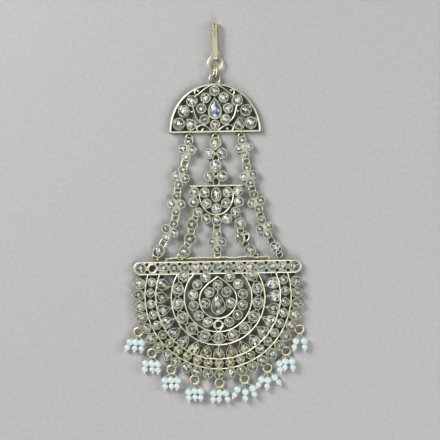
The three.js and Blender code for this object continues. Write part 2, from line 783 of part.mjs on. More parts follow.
for (const [side, strand] of Object.entries(strands)) {
  strand.links.forEach((link, i) => {
    add(`${side}_link_${i + 1}`, quatrefoilLink(), jewelled, link);
    const before = i ? down(strand.links[i - 1], windowAlong) : strand.from;
    addRing(`${side}_ring_${i + 1}`, before, down(link, -windowAlong));
  });
  add(`${side}_oval_drop`, dropLink(), jewelled, strand.drop);
  addRing(`${side}_ring_5`, down(strand.links[3], windowAlong), dropTop(strand));
  addRing(`${side}_ring_6`, dropBottom(strand), strand.to);
}

trefoils.forEach((place, i) => add(`middle_trefoil_${i + 1}`, trefoilLink(), jewelled, place));
const windowOf = (place, y) => ({ x: place.x, y: place.y + y });
addRing("middle_ring_1", crownFoot, windowOf(trefoils[0], trefoilTopWindow));
addRing(
  "middle_ring_2",
  windowOf(trefoils[0], trefoilBottomWindow),
  windowOf(trefoils[1], trefoilTopWindow),
);
addRing("middle_ring_3", windowOf(trefoils[1], trefoilBottomWindow), shieldTopLoop);
add("middle_foot_link", quatrefoilLink(), jewelled, footLink);
addRing("middle_ring_4", shieldFootLoop, down(footLink, -windowAlong));
addRing("middle_ring_5", down(footLink, windowAlong), railFoot);

// Each inner strand is one piece: three round settings, a ring at each end, and between them
// rings whose ends run under the settings, so that only their two sides are left.
for (const [side, { from, stones, to }] of Object.entries(innerStrands)) {
  const parts = stones.map(innerStone);
  const ringOn = (a, b) => {
    const { x, y, z, lean, half } = ringBetween(a, b);
    const shape = ovalRing(half, linkHalfWidth, linkWire).rotateZ(radians(lean));
    parts.push(solidOf(shape.translate(x, y, z)));
  };
  ringOn(from, down({ ...stones[0], lean: leanOf(from, stones[0]) }, -1.75));
  ringOn(down({ ...stones[2], lean: leanOf(stones[2], to) }, 1.75), to);
  for (const i of [0, 1]) {
    const lean = leanOf(stones[i], stones[i + 1]);
    for (const across of [-linkHalfWidth, linkHalfWidth]) {
      const a = down({ ...stones[i], lean }, 1.9, across);
      const b = down({ ...stones[i + 1], lean }, -1.9, across);
      const ends = [[a.x, a.y], [b.x, b.y]];
      parts.push(strip(ends, linkWire * 2, ringLift - linkWire, ringLift + linkWire));
    }
  }
  add(`${side}_inner_strand`, join(parts), jewelled);
}

// A round setting of an inner strand. A turned one lies on its table, open back up.
function innerStone({ x, y, turned }) {
  const levels = [innerFloor, bezelTop];
  const middle = { x: 0, y: 0 };
  const cup = facetedShape(middle, outlines.round, innerRadius, innerRadius, 22.5, levels);
  cup.rotateY(radians(turned)).translate(x, y, turned ? crownTop : 0);
  return solidOf(cup);
}

pearlDrops.forEach((drop, i) => {
  const { angle } = rowPlace(rows.outer, drop.stone);
  const reach = dropRing.reach + dropRing.radius;
  add(`pearl_drop_${i + 1}`, pearlDrop(drop), pearly, {
    x: reach * Math.cos(radians(angle)),
    y: crescent.rimCentre + reach * Math.sin(radians(angle)),
  });
});

export default root;
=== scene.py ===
import math
import random

import bpy
import numpy as np
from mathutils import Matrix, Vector
from mathutils.geometry import delaunay_2d_cdt


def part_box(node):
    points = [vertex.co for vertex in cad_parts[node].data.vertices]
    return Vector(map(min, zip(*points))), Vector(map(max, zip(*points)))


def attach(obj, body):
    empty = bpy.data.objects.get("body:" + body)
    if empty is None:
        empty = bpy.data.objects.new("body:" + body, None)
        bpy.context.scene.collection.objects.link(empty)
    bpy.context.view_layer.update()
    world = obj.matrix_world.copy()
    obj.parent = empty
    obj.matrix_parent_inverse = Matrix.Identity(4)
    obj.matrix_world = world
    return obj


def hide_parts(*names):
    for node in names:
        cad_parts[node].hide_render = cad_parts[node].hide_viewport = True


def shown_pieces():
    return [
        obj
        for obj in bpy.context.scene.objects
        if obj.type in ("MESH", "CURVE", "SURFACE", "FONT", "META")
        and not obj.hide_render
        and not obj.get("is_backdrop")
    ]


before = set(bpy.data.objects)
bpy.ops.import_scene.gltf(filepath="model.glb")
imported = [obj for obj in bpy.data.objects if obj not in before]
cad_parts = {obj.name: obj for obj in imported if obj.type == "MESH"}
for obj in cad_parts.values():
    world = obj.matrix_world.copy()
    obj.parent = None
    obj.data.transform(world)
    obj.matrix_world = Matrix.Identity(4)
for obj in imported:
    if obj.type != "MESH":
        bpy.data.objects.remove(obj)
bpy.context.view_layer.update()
chance = random.Random(7)
mm = 0.001  # sizes below are millimetres; meshes are scaled once, when they are made

# Levels shared by the whole jewel, up from the back that it lies on.
levels = {
    "ring": 0.8,
    "plate": 1.4,
    "lip": 1.6,
    "wire": 1.72,
    "girdle": 1.85,
    "rim": 2.15,
    "table": 2.74,
}


# Camera and light

view = {"lens": 100, "width": 176, "aim": (1.33, 30.4), "roll": -1.0}
studio = {"colour": (0.92, 0.95, 1), "strength": 0.09, "exposure": -0.2, "aim": (0, 30, 0)}
lights = [
    {"name": "softboxAbove", "at": (-60, 120, 660), "size": 420, "power": 0.05},
    {"name": "keyLeft", "at": (-480, 400, 400), "size": 330, "power": 3.5},
    {"name": "sideRight", "at": (520, 60, 330), "size": 330, "power": 1.3},
    {"name": "sideNear", "at": (60, -480, 330), "size": 330, "power": 1.2},
    {"name": "sparkle", "at": (-60, 110, 560), "size": 40, "power": 0.1},
]


def setCamera():
    lens = bpy.data.cameras.new("camera")
    lens.lens = view["lens"]
    lens.clip_start = 0.01
    camera = bpy.data.objects.new("camera", lens)
    distance = view["width"] * view["lens"] / lens.sensor_width + levels["plate"]
    camera.location = (view["aim"][0] * mm, view["aim"][1] * mm, distance * mm)
    camera.rotation_euler = (0, 0, math.radians(view["roll"]))
    bpy.context.scene.collection.objects.link(camera)
    bpy.context.scene.camera = camera


def setLights():
    for lamp in lights:
        data = bpy.data.lights.new(lamp["name"], "AREA")
        data.size = lamp["size"] * mm
        data.energy = lamp["power"]
        light = bpy.data.objects.new(lamp["name"], data)
        light.location = Vector(lamp["at"]) * mm
        aim = Vector(studio["aim"]) * mm - light.location
        light.rotation_euler = aim.to_track_quat("-Z", "Y").to_euler()
        bpy.context.scene.collection.objects.link(light)
    world = bpy.data.worlds.new("studio")
    world.use_nodes = True
    background = world.node_tree.nodes["Background"]
    background.inputs["Color"].default_value = (*studio["colour"], 1)
    background.inputs["Strength"].default_value = studio["strength"]
    bpy.context.scene.world = world
    bpy.context.scene.view_settings.view_transform = "Standard"
    bpy.context.scene.view_settings.look = "High Contrast"
    bpy.context.scene.view_settings.exposure = studio["exposure"]


setCamera()
setLights()
print("camera and lights set")


# Materials

def newMaterial(name):
    material = bpy.data.materials.new(name)
    material.use_nodes = True
    tree = material.node_tree
    return material, tree, tree.nodes["Principled BSDF"]


def addNode(tree, kind, links=(), **values):
    node = tree.nodes.new(kind)
    for name, value in values.items():
        if hasattr(node, name):
            setattr(node, name, value)
        else:
            node.inputs[name].default_value = value
    for source, target in links:
        tree.links.new(source, node.inputs[target])
    return node


def addRamp(tree, source, stops):
    ramp = tree.nodes.new("ShaderNodeValToRGB")
    marks = ramp.color_ramp.elements
    while len(marks) < len(stops):
        marks.new(1)
    for mark, (place, colour) in zip(marks, stops):
        mark.position = place
        mark.color = (*colour, 1)
    tree.links.new(source, ramp.inputs[0])
    return ramp


def scaled(tree, source, factor, offset=0.0):
    node = addNode(tree, "ShaderNodeMath", [(source, 0)], operation="MULTIPLY_ADD")
    node.inputs[1].default_value = factor
    node.inputs[2].default_value = offset
    return node.outputs[0]


# Brings colour over base by share; each is a fixed value or another node's output
def blended(tree, kind, share, base, colour):
    node = tree.nodes.new("ShaderNodeMix")
    node.data_type = "RGBA"
    node.blend_type = kind
    for name, value in (("Factor", share), ("A", base), ("B", colour)):
        if isinstance(value, bpy.types.NodeSocket):
            tree.links.new(value, node.inputs[name])
        else:
            node.inputs[name].default_value = value
    return node.outputs["Result"]


def addSurfaceBump(tree, shader, source, strength, depth):
    bump = addNode(tree, "ShaderNodeBump", [(source, "Height")], Strength=strength, Distance=depth)
    tree.links.new(bump.outputs[0], shader.inputs["Normal"])


# Colour by height: patina and painted shade darken recesses and low walls up to the first height, and wires
# and tops get a painted highlight from the second. Wear blurs the two.
giltLook = {"patina": 1300, "grain": 5200, "wear": (1.1, -0.58), "metallic": 0.6, "sheen": (0.34, 0.52)}
giltFinishes = {
    "antiqueGilt": {
        "bright": (0.86, 0.857, 0.70),
        "dull": (0.465, 0.49, 0.37),
        "dark": (0.03, 0.028, 0.016),
        "shadeAndPatinaHeights": (1.2, 1.85),
    },
    "ringGilt": {
        "bright": (0.84, 0.79, 0.58),
        "dull": (0.50, 0.46, 0.29),
        "dark": (0.12, 0.10, 0.05),
        "shadeAndPatinaHeights": (0.3, 1.15),
    },
    "hookGilt": {
        "bright": (0.79, 0.79, 0.58),
        "dull": (0.54, 0.53, 0.34),
        "dark": (0.14, 0.13, 0.07),
        "shadeAndPatinaHeights": (0.2, 1.3),
    },
    "pinSilver": {
        "bright": (0.93, 0.90, 0.82),
        "dull": (0.66, 0.62, 0.46),
        "dark": (0.22, 0.19, 0.11),
        "shadeAndPatinaHeights": (0.5, 1.5),
    },
}


def giltMetal(name, bright, dull, dark, shadeAndPatinaHeights):
    material, tree, shader = newMaterial(name)
    place = addNode(tree, "ShaderNodeTexCoord").outputs["Object"]
    height = addNode(tree, "ShaderNodeSeparateXYZ", [(place, 0)]).outputs["Z"]
    patina = addNode(tree, "ShaderNodeTexNoise", [(place, "Vector")], Scale=giltLook["patina"], Detail=5)
    patina.inputs["Roughness"].default_value = 0.65
    grain = addNode(tree, "ShaderNodeTexNoise", [(place, "Vector")], Scale=giltLook["grain"], Detail=3)
    # rise is the painted light by height, from painted shade low down to a painted highlight on top
    rise = tree.nodes.new("ShaderNodeMapRange")
    rise.inputs["From Min"].default_value = shadeAndPatinaHeights[0] * mm
    rise.inputs["From Max"].default_value = shadeAndPatinaHeights[1] * mm
    tree.links.new(height, rise.inputs["Value"])
    uneven = scaled(tree, patina.outputs[0], *giltLook["wear"])
    heightShadeAndWear = addNode(tree, "ShaderNodeMath", [(rise.outputs[0], 0), (uneven, 1)], operation="ADD")
    # dark is patina with painted shade, dull the middle, bright the painted highlight on wires and tops
    colour = addRamp(tree, heightShadeAndWear.outputs[0], [(0.0, dark), (0.42, dull), (0.85, bright)])
    tree.links.new(colour.outputs[0], shader.inputs["Base Color"])
    shader.inputs["Metallic"].default_value = giltLook["metallic"]
    smooth, rough = giltLook["sheen"]
    sheen = addRamp(tree, patina.outputs[0], [(0.3, (smooth,) * 3), (0.7, (rough,) * 3)])
    tree.links.new(sheen.outputs[0], shader.inputs["Roughness"])
    addSurfaceBump(tree, shader, grain.outputs[0], 0.35, 0.00006)
    return material


# Stops run from the darkest facets, in painted shade, to the brightest, a painted highlight. The hue drifts
# from stone to stone.
stoneLook = {
    "hues": [(0.36, (0.88, 0.93, 1.0)), (0.5, (0.98, 1, 0.93)), (0.64, (1, 0.95, 0.94))],
    "warm": (0.95, 0.88, 0.63),
    "drift": 260,
    "cloud": 1500,
    "veil": (0.3, -0.15),
    "metallic": 0.2,
    "roughness": 0.16,
    "coatRoughness": 0.03,
}
clearStops = [
    (0.0, (0.03, 0.028, 0.02)),
    (0.3, (0.17, 0.175, 0.14)),
    (0.55, (0.36, 0.385, 0.35)),
    (0.78, (0.62, 0.67, 0.66)),
    (1.0, (1.0, 1.0, 1.0)),
]
blueStops = [
    (0.0, (0.06, 0.065, 0.08)),
    (0.3, (0.18, 0.20, 0.25)),
    (0.6, (0.34, 0.39, 0.49)),
    (0.85, (0.52, 0.60, 0.73)),
    (1.0, (0.90, 0.94, 1.0)),
]


def cutStone(name, stops):
    material, tree, shader = newMaterial(name)
    # Each face's painted facet light, with a cloudy veil, picks its colour from the stops
    tone = addNode(tree, "ShaderNodeAttribute", attribute_name="paintedFacetLight").outputs["Fac"]
    tint = addNode(tree, "ShaderNodeAttribute", attribute_name="stoneTint").outputs["Fac"]
    place = addNode(tree, "ShaderNodeTexCoord").outputs["Object"]
    cloud = addNode(tree, "ShaderNodeTexNoise", [(place, "Vector")], Scale=stoneLook["cloud"], Detail=4)
    veil = scaled(tree, cloud.outputs[0], *stoneLook["veil"])
    seen = addNode(tree, "ShaderNodeMath", [(tone, 0), (veil, 1)], operation="ADD")
    facetLightColour = addRamp(tree, seen.outputs[0], stops)
    drift = addNode(tree, "ShaderNodeTexNoise", [(place, "Vector")], Scale=stoneLook["drift"], Detail=1)
    hue = addRamp(tree, drift.outputs[0], stoneLook["hues"])
    shaded = blended(tree, "MULTIPLY", 1, facetLightColour.outputs[0], hue.outputs[0])
    warmed = blended(tree, "MULTIPLY", tint, shaded, (*stoneLook["warm"], 1))
    tree.links.new(warmed, shader.inputs["Base Color"])
    shader.inputs["Metallic"].default_value = stoneLook["metallic"]
    shader.inputs["Roughness"].default_value = stoneLook["roughness"]
    shader.inputs["Coat Weight"].default_value = 1
    shader.inputs["Coat Roughness"].default_value = stoneLook["coatRoughness"]
    addSurfaceBump(tree, shader, cloud.outputs[0], 0.1, 0.00005)
    return material


# Pearls with a tint of 1, the small ones, take their share of the second colour.
pearlLook = {
    "stops": [(0.3, (0.64, 0.80, 0.79)), (0.5, (0.75, 0.88, 0.86)), (0.72, (0.90, 0.92, 0.93))],
    "second": (0.88, 0.84, 0.87),
    "share": 0.4,
    "gloss": (0.18, 0.3),
    "coatRoughness": 0.08,
}


def pearlSkin(name):
    material, tree, shader = newMaterial(name)
    place = addNode(tree, "ShaderNodeTexCoord").outputs["Object"]
    cloud = addNode(tree, "ShaderNodeTexNoise", [(place, "Vector")], Scale=420, Detail=3)
    fine = addNode(tree, "ShaderNodeTexNoise", [(place, "Vector")], Scale=3500, Detail=2)
    colour = addRamp(tree, cloud.outputs[0], pearlLook["stops"])
    tint = addNode(tree, "ShaderNodeAttribute", attribute_name="stoneTint").outputs["Fac"]
    share = scaled(tree, tint, pearlLook["share"])
    skin = blended(tree, "MIX", share, colour.outputs[0], (*pearlLook["second"], 1))
    tree.links.new(skin, shader.inputs["Base Color"])
    glossy, dull = pearlLook["gloss"]
    gloss = addRamp(tree, cloud.outputs[0], [(0.3, (glossy,) * 3), (0.8, (dull,) * 3)])
    tree.links.new(gloss.outputs[0], shader.inputs["Roughness"])
    shader.inputs["Coat Weight"].default_value = 1
    shader.inputs["Coat Roughness"].default_value = pearlLook["coatRoughness"]
    addSurfaceBump(tree, shader, fine.outputs[0], 0.15, 0.00004)
    return material


def floorPaper(name):
    material, tree, shader = newMaterial(name)
    place = addNode(tree, "ShaderNodeTexCoord").outputs["Object"]
    fibre = addNode(tree, "ShaderNodeTexNoise", [(place, "Vector")], Scale=600, Detail=4)
    colour = addRamp(tree, fibre.outputs[0], [(0.3, (0.56, 0.55, 0.545)), (0.7, (0.60, 0.59, 0.585))])
    tree.links.new(colour.outputs[0], shader.inputs["Base Color"])
    shader.inputs["Roughness"].default_value = 0.85
    addSurfaceBump(tree, shader, fibre.outputs[0], 0.1, 0.0001)
    return material


gilts = [giltMetal(name, **finish) for name, finish in giltFinishes.items()]
antiqueGilt, ringGilt, hookGilt, pinSilver = gilts
foiledStone = cutStone("foiledStone", clearStops)
milkyStone = cutStone("milkyStone", blueStops)
pearl = pearlSkin("pearl")
backdrop = floorPaper("backdrop")
print("materials mixed")


# Mesh work: points in millimetres, gathered and made into a piece at the end

def startWork():
    return {"spots": [], "faces": [], "tones": [], "tint": []}


def addFaces(work, spots, faces, tones=None, tint=0.0):
    first = len(work["spots"])
    work["spots"].extend(spots)
    work["faces"].extend([tuple(first + i for i in face) for face in faces])
    work["tones"].extend(tones or [0.5] * len(faces))
    work["tint"].extend([tint] * len(faces))


# A closed skin over rings of points, from the underside up.
def addLoft(work, rings, tint=0.0):
    n = len(rings[0])
    faces = [tuple(reversed(range(n)))]
    for low in range(0, (len(rings) - 1) * n, n):
        for i in range(n):
            j = (i + 1) % n
            faces.append((low + i, low + j, low + n + j, low + n + i))
    faces.append(tuple(range((len(rings) - 1) * n, len(rings) * n)))
    addFaces(work, [spot for ring in rings for spot in ring], faces, tint=tint)


def makePiece(work, name, material, nodeNames, creaseOver=40):
    mesh = bpy.data.meshes.new(name)
    mesh.from_pydata([[v * mm for v in spot] for spot in work["spots"]], [], work["faces"])
    # faces carry the stones' painted facet light and their tint
    for label, values in (("paintedFacetLight", work["tones"]), ("stoneTint", work["tint"])):
        mesh.attributes.new(label, "FLOAT", "FACE").data.foreach_set("value", values)
    mesh.polygons.foreach_set("use_smooth", [creaseOver > 0] * len(mesh.polygons))
    if creaseOver > 0:
        mesh.set_sharp_from_angle(angle=math.radians(creaseOver))
    mesh.validate()
    piece = bpy.data.objects.new(name, mesh)
    mesh.materials.append(material)
    bpy.context.scene.collection.objects.link(piece)
    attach(piece, "root")
    if nodeNames:
        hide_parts(*nodeNames)


def directionOf(degrees):
    return math.cos(math.radians(degrees)), math.sin(math.radians(degrees))


# From a piece's own directions, u across and v along, to the jewel's
def settle(place, u, v, z):
    x, y, turn = place
    c, s = directionOf(turn)
    return (x + u * c - v * s, y + u * s + v * c, z)


# Outlines in a square of half-side 1, by their share of a full turn from the top
def roundLine(t):
    return -math.sin(2 * math.pi * t), math.cos(2 * math.pi * t)


def pearLine(t):  # pointed at the top, round at the foot
    angle = 2 * math.pi * t
    return -math.sin(angle) * math.sin(angle / 2) / 0.77, math.cos(angle)


def ogeeLine(t):  # a circle drawn out to one small point
    u, v = roundLine(t)
    near = min(t, 1 - t)
    return u, v + 0.24 * math.exp(-((near / 0.04) ** 1.2)) - 0.1


def lozengeLine(t):  # four hollow sides that meet in points
    u, v = roundLine(t)
    return math.copysign(abs(u) ** 1.45, u), math.copysign(abs(v) ** 1.45, v)


def outlineRing(place, line, half, z, sides=24):
    ring = []
    for i in range(sides):
        u, v = line(i / sides)
        ring.append(settle(place, u * half[0], v * half[1], z))
    return ring


# A collar closed under its stone. foot and mouth are half sizes. A wide wall has a raised edge and a groove.
# edge holds (distance in from the foot, height), and wall (distance out from the mouth, height).
wideWall = 0.45


def addCollar(work, place, footLine, foot, line, mouth, base=1.2, shoulder=1.72, groove=0.3):
    rim, channel = levels["rim"], shoulder - groove
    edge = [(0.0, rim - 0.16), (0.03, rim - 0.05), (0.08, rim)]
    wall = [(0.03, rim), (0.0, rim - 0.06), (0.0, base + 0.25)]
    if foot[0] - mouth[0] > wideWall:
        edge = [(0.0, shoulder - 0.12), (0.03, shoulder), (0.32, shoulder), (0.37, channel)]
        wall = [(0.17, channel + 0.01), (0.16, rim - 0.1), (0.12, rim), *wall]
    rings = [outlineRing(place, footLine, foot, base)]
    rings += [outlineRing(place, footLine, (foot[0] - off, foot[1] - off), z) for off, z in edge]
    rings += [outlineRing(place, line, (mouth[0] + extra, mouth[1] + extra), z) for extra, z in wall]
    addLoft(work, rings)


# A foil-backed stone. Shares are of its half size, and rises of its height over the girdle.
cut = {
    "sides": 16,
    "middle": 0.8,
    "middleRise": 0.6,
    "table": 0.56,
    "heart": 0.3,
    "point": 0.06,
    "dome": 0.06,
    "heartDome": 0.018,
    "depth": 0.4,
}
# Painted light for each kind of facet: the centre a painted highlight, the others painted shade and
# reflection in the stone
tones = {
    "centre": (0.85, 1.15),
    "inner": (0.25, 1.0),
    "star": (0.12, 0.95),
    "kite": (0.12, 0.9),
    "edge": (0.3, 0.9),
}


def addStone(work, place, line, half, tint=0.0):
    lean = (chance.uniform(-0.03, 0.03), chance.uniform(-0.03, 0.03))
    # one random scale per stone for how brightly its facets are painted
    paintedLightScale = chance.uniform(0.82, 1.22)
    girdle, table = levels["girdle"], levels["table"]
    middleZ = girdle + cut["middleRise"] * (table - girdle)
    around, across = cut["sides"], cut["sides"] // 2

    def put(t, share, z):
        u, v = line(t % 1)
        u, v = u * half[0] * share, v * half[1] * share
        return settle(place, u, v, z + lean[0] * u + lean[1] * v)

    spots = [put(k / around, 1, girdle - cut["depth"]) for k in range(around)]
    spots += [put(k / around, 1, girdle) for k in range(around)]
    spots += [put((2 * j + 1) / around, cut["middle"], middleZ) for j in range(across)]
    spots += [put(j / across, cut["table"], table - cut["dome"]) for j in range(across)]
    spots += [put((2 * j + 1) / around, cut["heart"], table - cut["heartDome"]) for j in range(across)]
    spots.append(put(0.5, cut["point"], table))
    edge, mid = around, 2 * around
    top, heart, centre = mid + across, mid + 2 * across, mid + 3 * across
    faces, kinds = [tuple(reversed(range(around)))], ["edge"]
    for k in range(around):
        n = (k + 1) % around
        faces.append((k, n, edge + n, edge + k))
        kinds.append("edge")
    for j in range(across):
        n, p = (j + 1) % across, (j - 1) % across
        first, second, third = edge + 2 * j, edge + 2 * j + 1, edge + (2 * j + 2) % around
        faces += [(mid + j, first, second), (mid + j, second, third)]
        faces += [(top + j, mid + p, first, mid + j), (top + j, mid + j, top + n)]
        faces += [(top + j, top + n, heart + j), (top + n, heart + n, heart + j)]
        faces.append((centre, heart + j, heart + n))
        kinds += ["edge", "edge", "kite", "star", "inner", "inner", "centre"]
    # each facet's painted light, a highlight at the centre and shade on the facets around it
    shades = [min(1.0, chance.uniform(*tones[kind]) * paintedLightScale) for kind in kinds]
    addFaces(work, spots, faces, shades, tint)


# A wire along points; up is the direction square to the curve's plane
def addWire(work, points, radius, closed=False, up=(0, 0, 1), sides=8, flat=1.0):
    path = [Vector(p) for p in points]
    up = Vector(up).normalized()
    count = len(path)
    rings = []
    for i, here in enumerate(path):
        before = path[(i - 1) % count] if closed else path[max(i - 1, 0)]
        after = path[(i + 1) % count] if closed else path[min(i + 1, count - 1)]
        side = (after - before).cross(up).normalized()
        ring = []
        for k in range(sides):
            angle = 2 * math.pi * k / sides
            ring.append(tuple(here + (side * math.cos(angle) + up * flat * math.sin(angle)) * radius))
        rings.append(ring)
    if not closed:
        addLoft(work, rings)
        return
    faces = []
    for level in range(count):
        low, high = level * sides, ((level + 1) % count) * sides
        for k in range(sides):
            n = (k + 1) % sides
            faces.append((low + k, low + n, high + n, high + k))
    addFaces(work, [spot for ring in rings for spot in ring], faces)


# A smooth run through a few points
def smoothRun(points, steps=6):
    ends = [points[0], *points, points[-1]]
    run = []
    for i in range(1, len(ends) - 2):
        a, b, c, d = [np.array(ends[i + k], dtype=float) for k in (-1, 0, 1, 2)]
        for s in range(steps):
            t = s / steps
            run.append(tuple(0.5 * (2 * b + (c - a) * t + (2 * a - 5 * b + 4 * c - d) * t * t
                                    + (3 * b - a - 3 * c + d) * t ** 3)))
    run.append(tuple(float(v) for v in points[-1]))
    return run


def onCircle(middle, radius, degrees):
    c, s = directionOf(degrees)
    return middle[0] + radius * c, middle[1] + radius * s


def raised(run, z):
    return [(x, y, z) for x, y in run]


def arcRun(middle, radius, start, stop, steps=48, z=None):
    run = [onCircle(middle, radius, start + (stop - start) * i / steps) for i in range(steps + 1)]
    return run if z is None else raised(run, z)


def addGrain(work, centre, radius):
    addBall(work, centre, radius, 8, 5)


def addBall(work, centre, radius, around=10, rows=6, squash=1.0):
    rings = []
    for row in range(rows + 1):
        tilt = math.pi * (row + 0.15 * (row == 0) - 0.15 * (row == rows)) / rows
        reach, z = radius * math.sin(tilt), -radius * squash * math.cos(tilt)
        ring = [onCircle(centre, reach, 360 * k / around) for k in range(around)]
        rings.append(raised(ring, centre[2] + z))
    addLoft(work, rings)


# The middle, lean and half length of a piece that is even both ways, from its solid
def layOf(node):
    spots = np.array([v.co[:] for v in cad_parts[node].data.vertices]) / mm
    middle = (spots.min(axis=0) + spots.max(axis=0)) / 2
    flat = spots[:, :2] - spots[:, :2].mean(axis=0)
    along = np.linalg.eigh(flat.T @ flat)[1][:, 1]
    if along[1] > 0:
        along = -along
    lean = math.degrees(math.atan2(along[0], -along[1]))
    reach = np.abs(flat @ along).max()
    return {"place": (middle[0], middle[1], lean), "z": middle[2], "reach": reach}


# How far a long link reaches along itself: two half rounds with straight sides between
def ovalReach(angle, halfLength, halfWidth):
    straight = math.copysign(min(1, abs(math.sin(angle)) * 3), math.sin(angle))
    return halfWidth * math.sin(angle) + straight * (halfLength - halfWidth)


def addOvalRing(work, place, z, halfLength, halfWidth, wire):
    points = []
    for i in range(32):
        angle = 2 * math.pi * i / 32
        v = ovalReach(angle, halfLength, halfWidth)
        points.append(settle(place, halfWidth * math.cos(angle), v, z))
    addWire(work, points, wire, closed=True)


# A standing eye of wire that a ring passes through, its length along the piece
eye = {"z": 0.78, "rise": 0.55, "wire": 0.2, "flat": 1.15, "plaqueAlong": 0.8}


def addEye(work, place, along=0.72):
    points = []
    for i in range(20):
        angle = 2 * math.pi * i / 20
        points.append(settle(place, 0, along * math.cos(angle), eye["z"] + eye["rise"] * math.sin(angle)))
    side = (*directionOf(place[2]), 0)
    addWire(work, points, eye["wire"], closed=True, up=side, sides=6, flat=eye["flat"])


# Pierced sheets: cups and wires run together where they touch, and what lies between stays open

# melt is how sharply two forms run together, within reach of their edges
sheet = {
    "grid": 0.2,
    "melt": 9.0,
    "reach": 0.9,
    "border": 1.2,
    "leastBend": 0.004,
    "smallestGap": 0.12,
    "roundOver": 0.1,
}


def distanceToLine(x, y, a, b):
    step = (b[0] - a[0], b[1] - a[1])
    share = ((x - a[0]) * step[0] + (y - a[1]) * step[1]) / (step[0] ** 2 + step[1] ** 2)
    share = np.clip(share, 0, 1)
    return np.hypot(x - a[0] - share * step[0], y - a[1] - share * step[1])


def insideLoops(x, y, loops):
    inside = np.zeros(x.shape, dtype=bool)
    for loop in loops:
        for a, b in zip(loop, loop[1:] + loop[:1]):
            if a[1] != b[1]:
                crosses = (a[1] > y) != (b[1] > y)
                inside ^= crosses & (x < a[0] + (y - a[1]) * (b[0] - a[0]) / (b[1] - a[1]))
    return inside


def distanceToShape(x, y, outline):
    near = np.full(x.shape, 1e9)
    for a, b in zip(outline, outline[1:] + outline[:1]):
        near = np.minimum(near, distanceToLine(x, y, a, b))
    return np.where(insideLoops(x, y, [outline]), -near, near)


def sheetField(shapes, wires, holes):
    spots = [p for shape in shapes for p in shape] + [p for points, _ in wires for p in points]
    low = np.min(spots, axis=0) - sheet["border"]
    high = np.max(spots, axis=0) + sheet["border"]
    xs = np.arange(low[0], high[0], sheet["grid"])
    ys = np.arange(low[1], high[1], sheet["grid"])
    mass = np.zeros((len(xs), len(ys)))

    def window(points):
        margin = sheet["reach"] + 0.4
        lowest, highest = np.min(points, axis=0) - margin, np.max(points, axis=0) + margin
        across = slice(*np.searchsorted(xs, (lowest[0], highest[0])))
        along = slice(*np.searchsorted(ys, (lowest[1], highest[1])))
        return (across, along), np.meshgrid(xs[across], ys[along], indexing="ij")

    def weight(distance):
        return np.exp(-sheet["melt"] * np.clip(distance, -sheet["reach"], sheet["reach"]))

    for shape in shapes:
        patch, (x, y) = window(shape)
        mass[patch] += weight(distanceToShape(x, y, shape))
    for points, half in wires:
        near = np.full(mass.shape, 1e9)
        for a, b in zip(points, points[1:]):
            patch, (x, y) = window([a, b])
            near[patch] = np.minimum(near[patch], distanceToLine(x, y, a, b) - half)
        mass += np.where(near < sheet["reach"], weight(near), 0)
    field = -np.log(np.maximum(mass, 1e-4)) / sheet["melt"]
    for hole in holes:
        patch, (x, y) = window(hole)
        field[patch] = np.maximum(field[patch], -distanceToShape(x, y, hole))
    return xs, ys, field


# The edges of what is solid in a field, as loops with the metal on their left
crossings = {
    1: [(0, 3)], 2: [(1, 0)], 3: [(1, 3)], 4: [(2, 1)], 5: [(0, 3), (2, 1)],
    6: [(2, 0)], 7: [(2, 3)], 8: [(3, 2)], 9: [(0, 2)], 10: [(1, 0), (3, 2)],
    11: [(1, 2)], 12: [(3, 1)], 13: [(0, 1)], 14: [(3, 0)],
}


def edgeLoops(xs, ys, field):
    solid = field < 0
    cells = solid[:-1, :-1] * 1 + solid[1:, :-1] * 2 + solid[1:, 1:] * 4 + solid[:-1, 1:] * 8
    follows = {}
    for i, j in zip(*np.nonzero((cells > 0) & (cells < 15))):
        sides = [("h", i, j), ("v", i + 1, j), ("h", i, j + 1), ("v", i, j)]
        for start, stop in crossings[cells[i, j]]:
            follows[sides[start]] = sides[stop]

    def spotOn(side):
        kind, i, j = side
        i2, j2 = (i + 1, j) if kind == "h" else (i, j + 1)
        share = field[i, j] / (field[i, j] - field[i2, j2])
        return (xs[i] + share * (xs[i2] - xs[i]), ys[j] + share * (ys[j2] - ys[j]))

    loops = []
    while follows:
        start = here = next(iter(follows))
        loop = []
        while here in follows:
            loop.append(spotOn(here))
            here = follows.pop(here)
        loops.append(loop)
    return loops


def areaOf(loop):
    return sum(a[0] * b[1] - b[0] * a[1] for a, b in zip(loop, loop[1:] + loop[:1])) / 2


# Points that hardly bend a loop are dropped
def thinned(loop):
    for _ in range(3):
        kept = []
        skip = False
        for before, here, after in zip(loop[-1:] + loop[:-1], loop, loop[1:] + loop[:1]):
            bend = abs((here[0] - before[0]) * (after[1] - before[1])
                       - (here[1] - before[1]) * (after[0] - before[0])) / 2
            if bend < sheet["leastBend"] and not skip:
                skip = True
                continue
            skip = False
            kept.append(here)
        loop = kept
    return loop


def inset(loop, distance):
    moved = []
    for before, here, after in zip(loop[-1:] + loop[:-1], loop, loop[1:] + loop[:1]):
        dx, dy = after[0] - before[0], after[1] - before[1]
        length = math.hypot(dx, dy) or 1
        moved.append((here[0] - dy / length * distance, here[1] + dx / length * distance))
    return moved


# One flat side of a sheet, as triangles between its rims. Where rims cross, a point is added to spots.
def sheetSide(spots, low, count, edges, rims, z, facing):
    points = [Vector(spot[:2]) for spot in spots[low:low + count]]
    found, _, triangles, origins, _, _ = delaunay_2d_cdt(points, edges, [], 1, 1e-6)
    corners = np.array([spot[:] for spot in found], dtype=float)
    middles = corners[np.array(triangles)].mean(axis=1)
    solid = insideLoops(middles[:, 0], middles[:, 1], rims)
    numbers = []
    for spot, origin in zip(found, origins):
        numbers.append(low + origin[0] if origin else len(spots))
        if not origin:
            spots.append((spot.x, spot.y, z))
    kept = [triangle for triangle, inside in zip(triangles, solid) if inside]
    return [tuple(numbers[i] for i in triangle[::facing]) for triangle in kept]


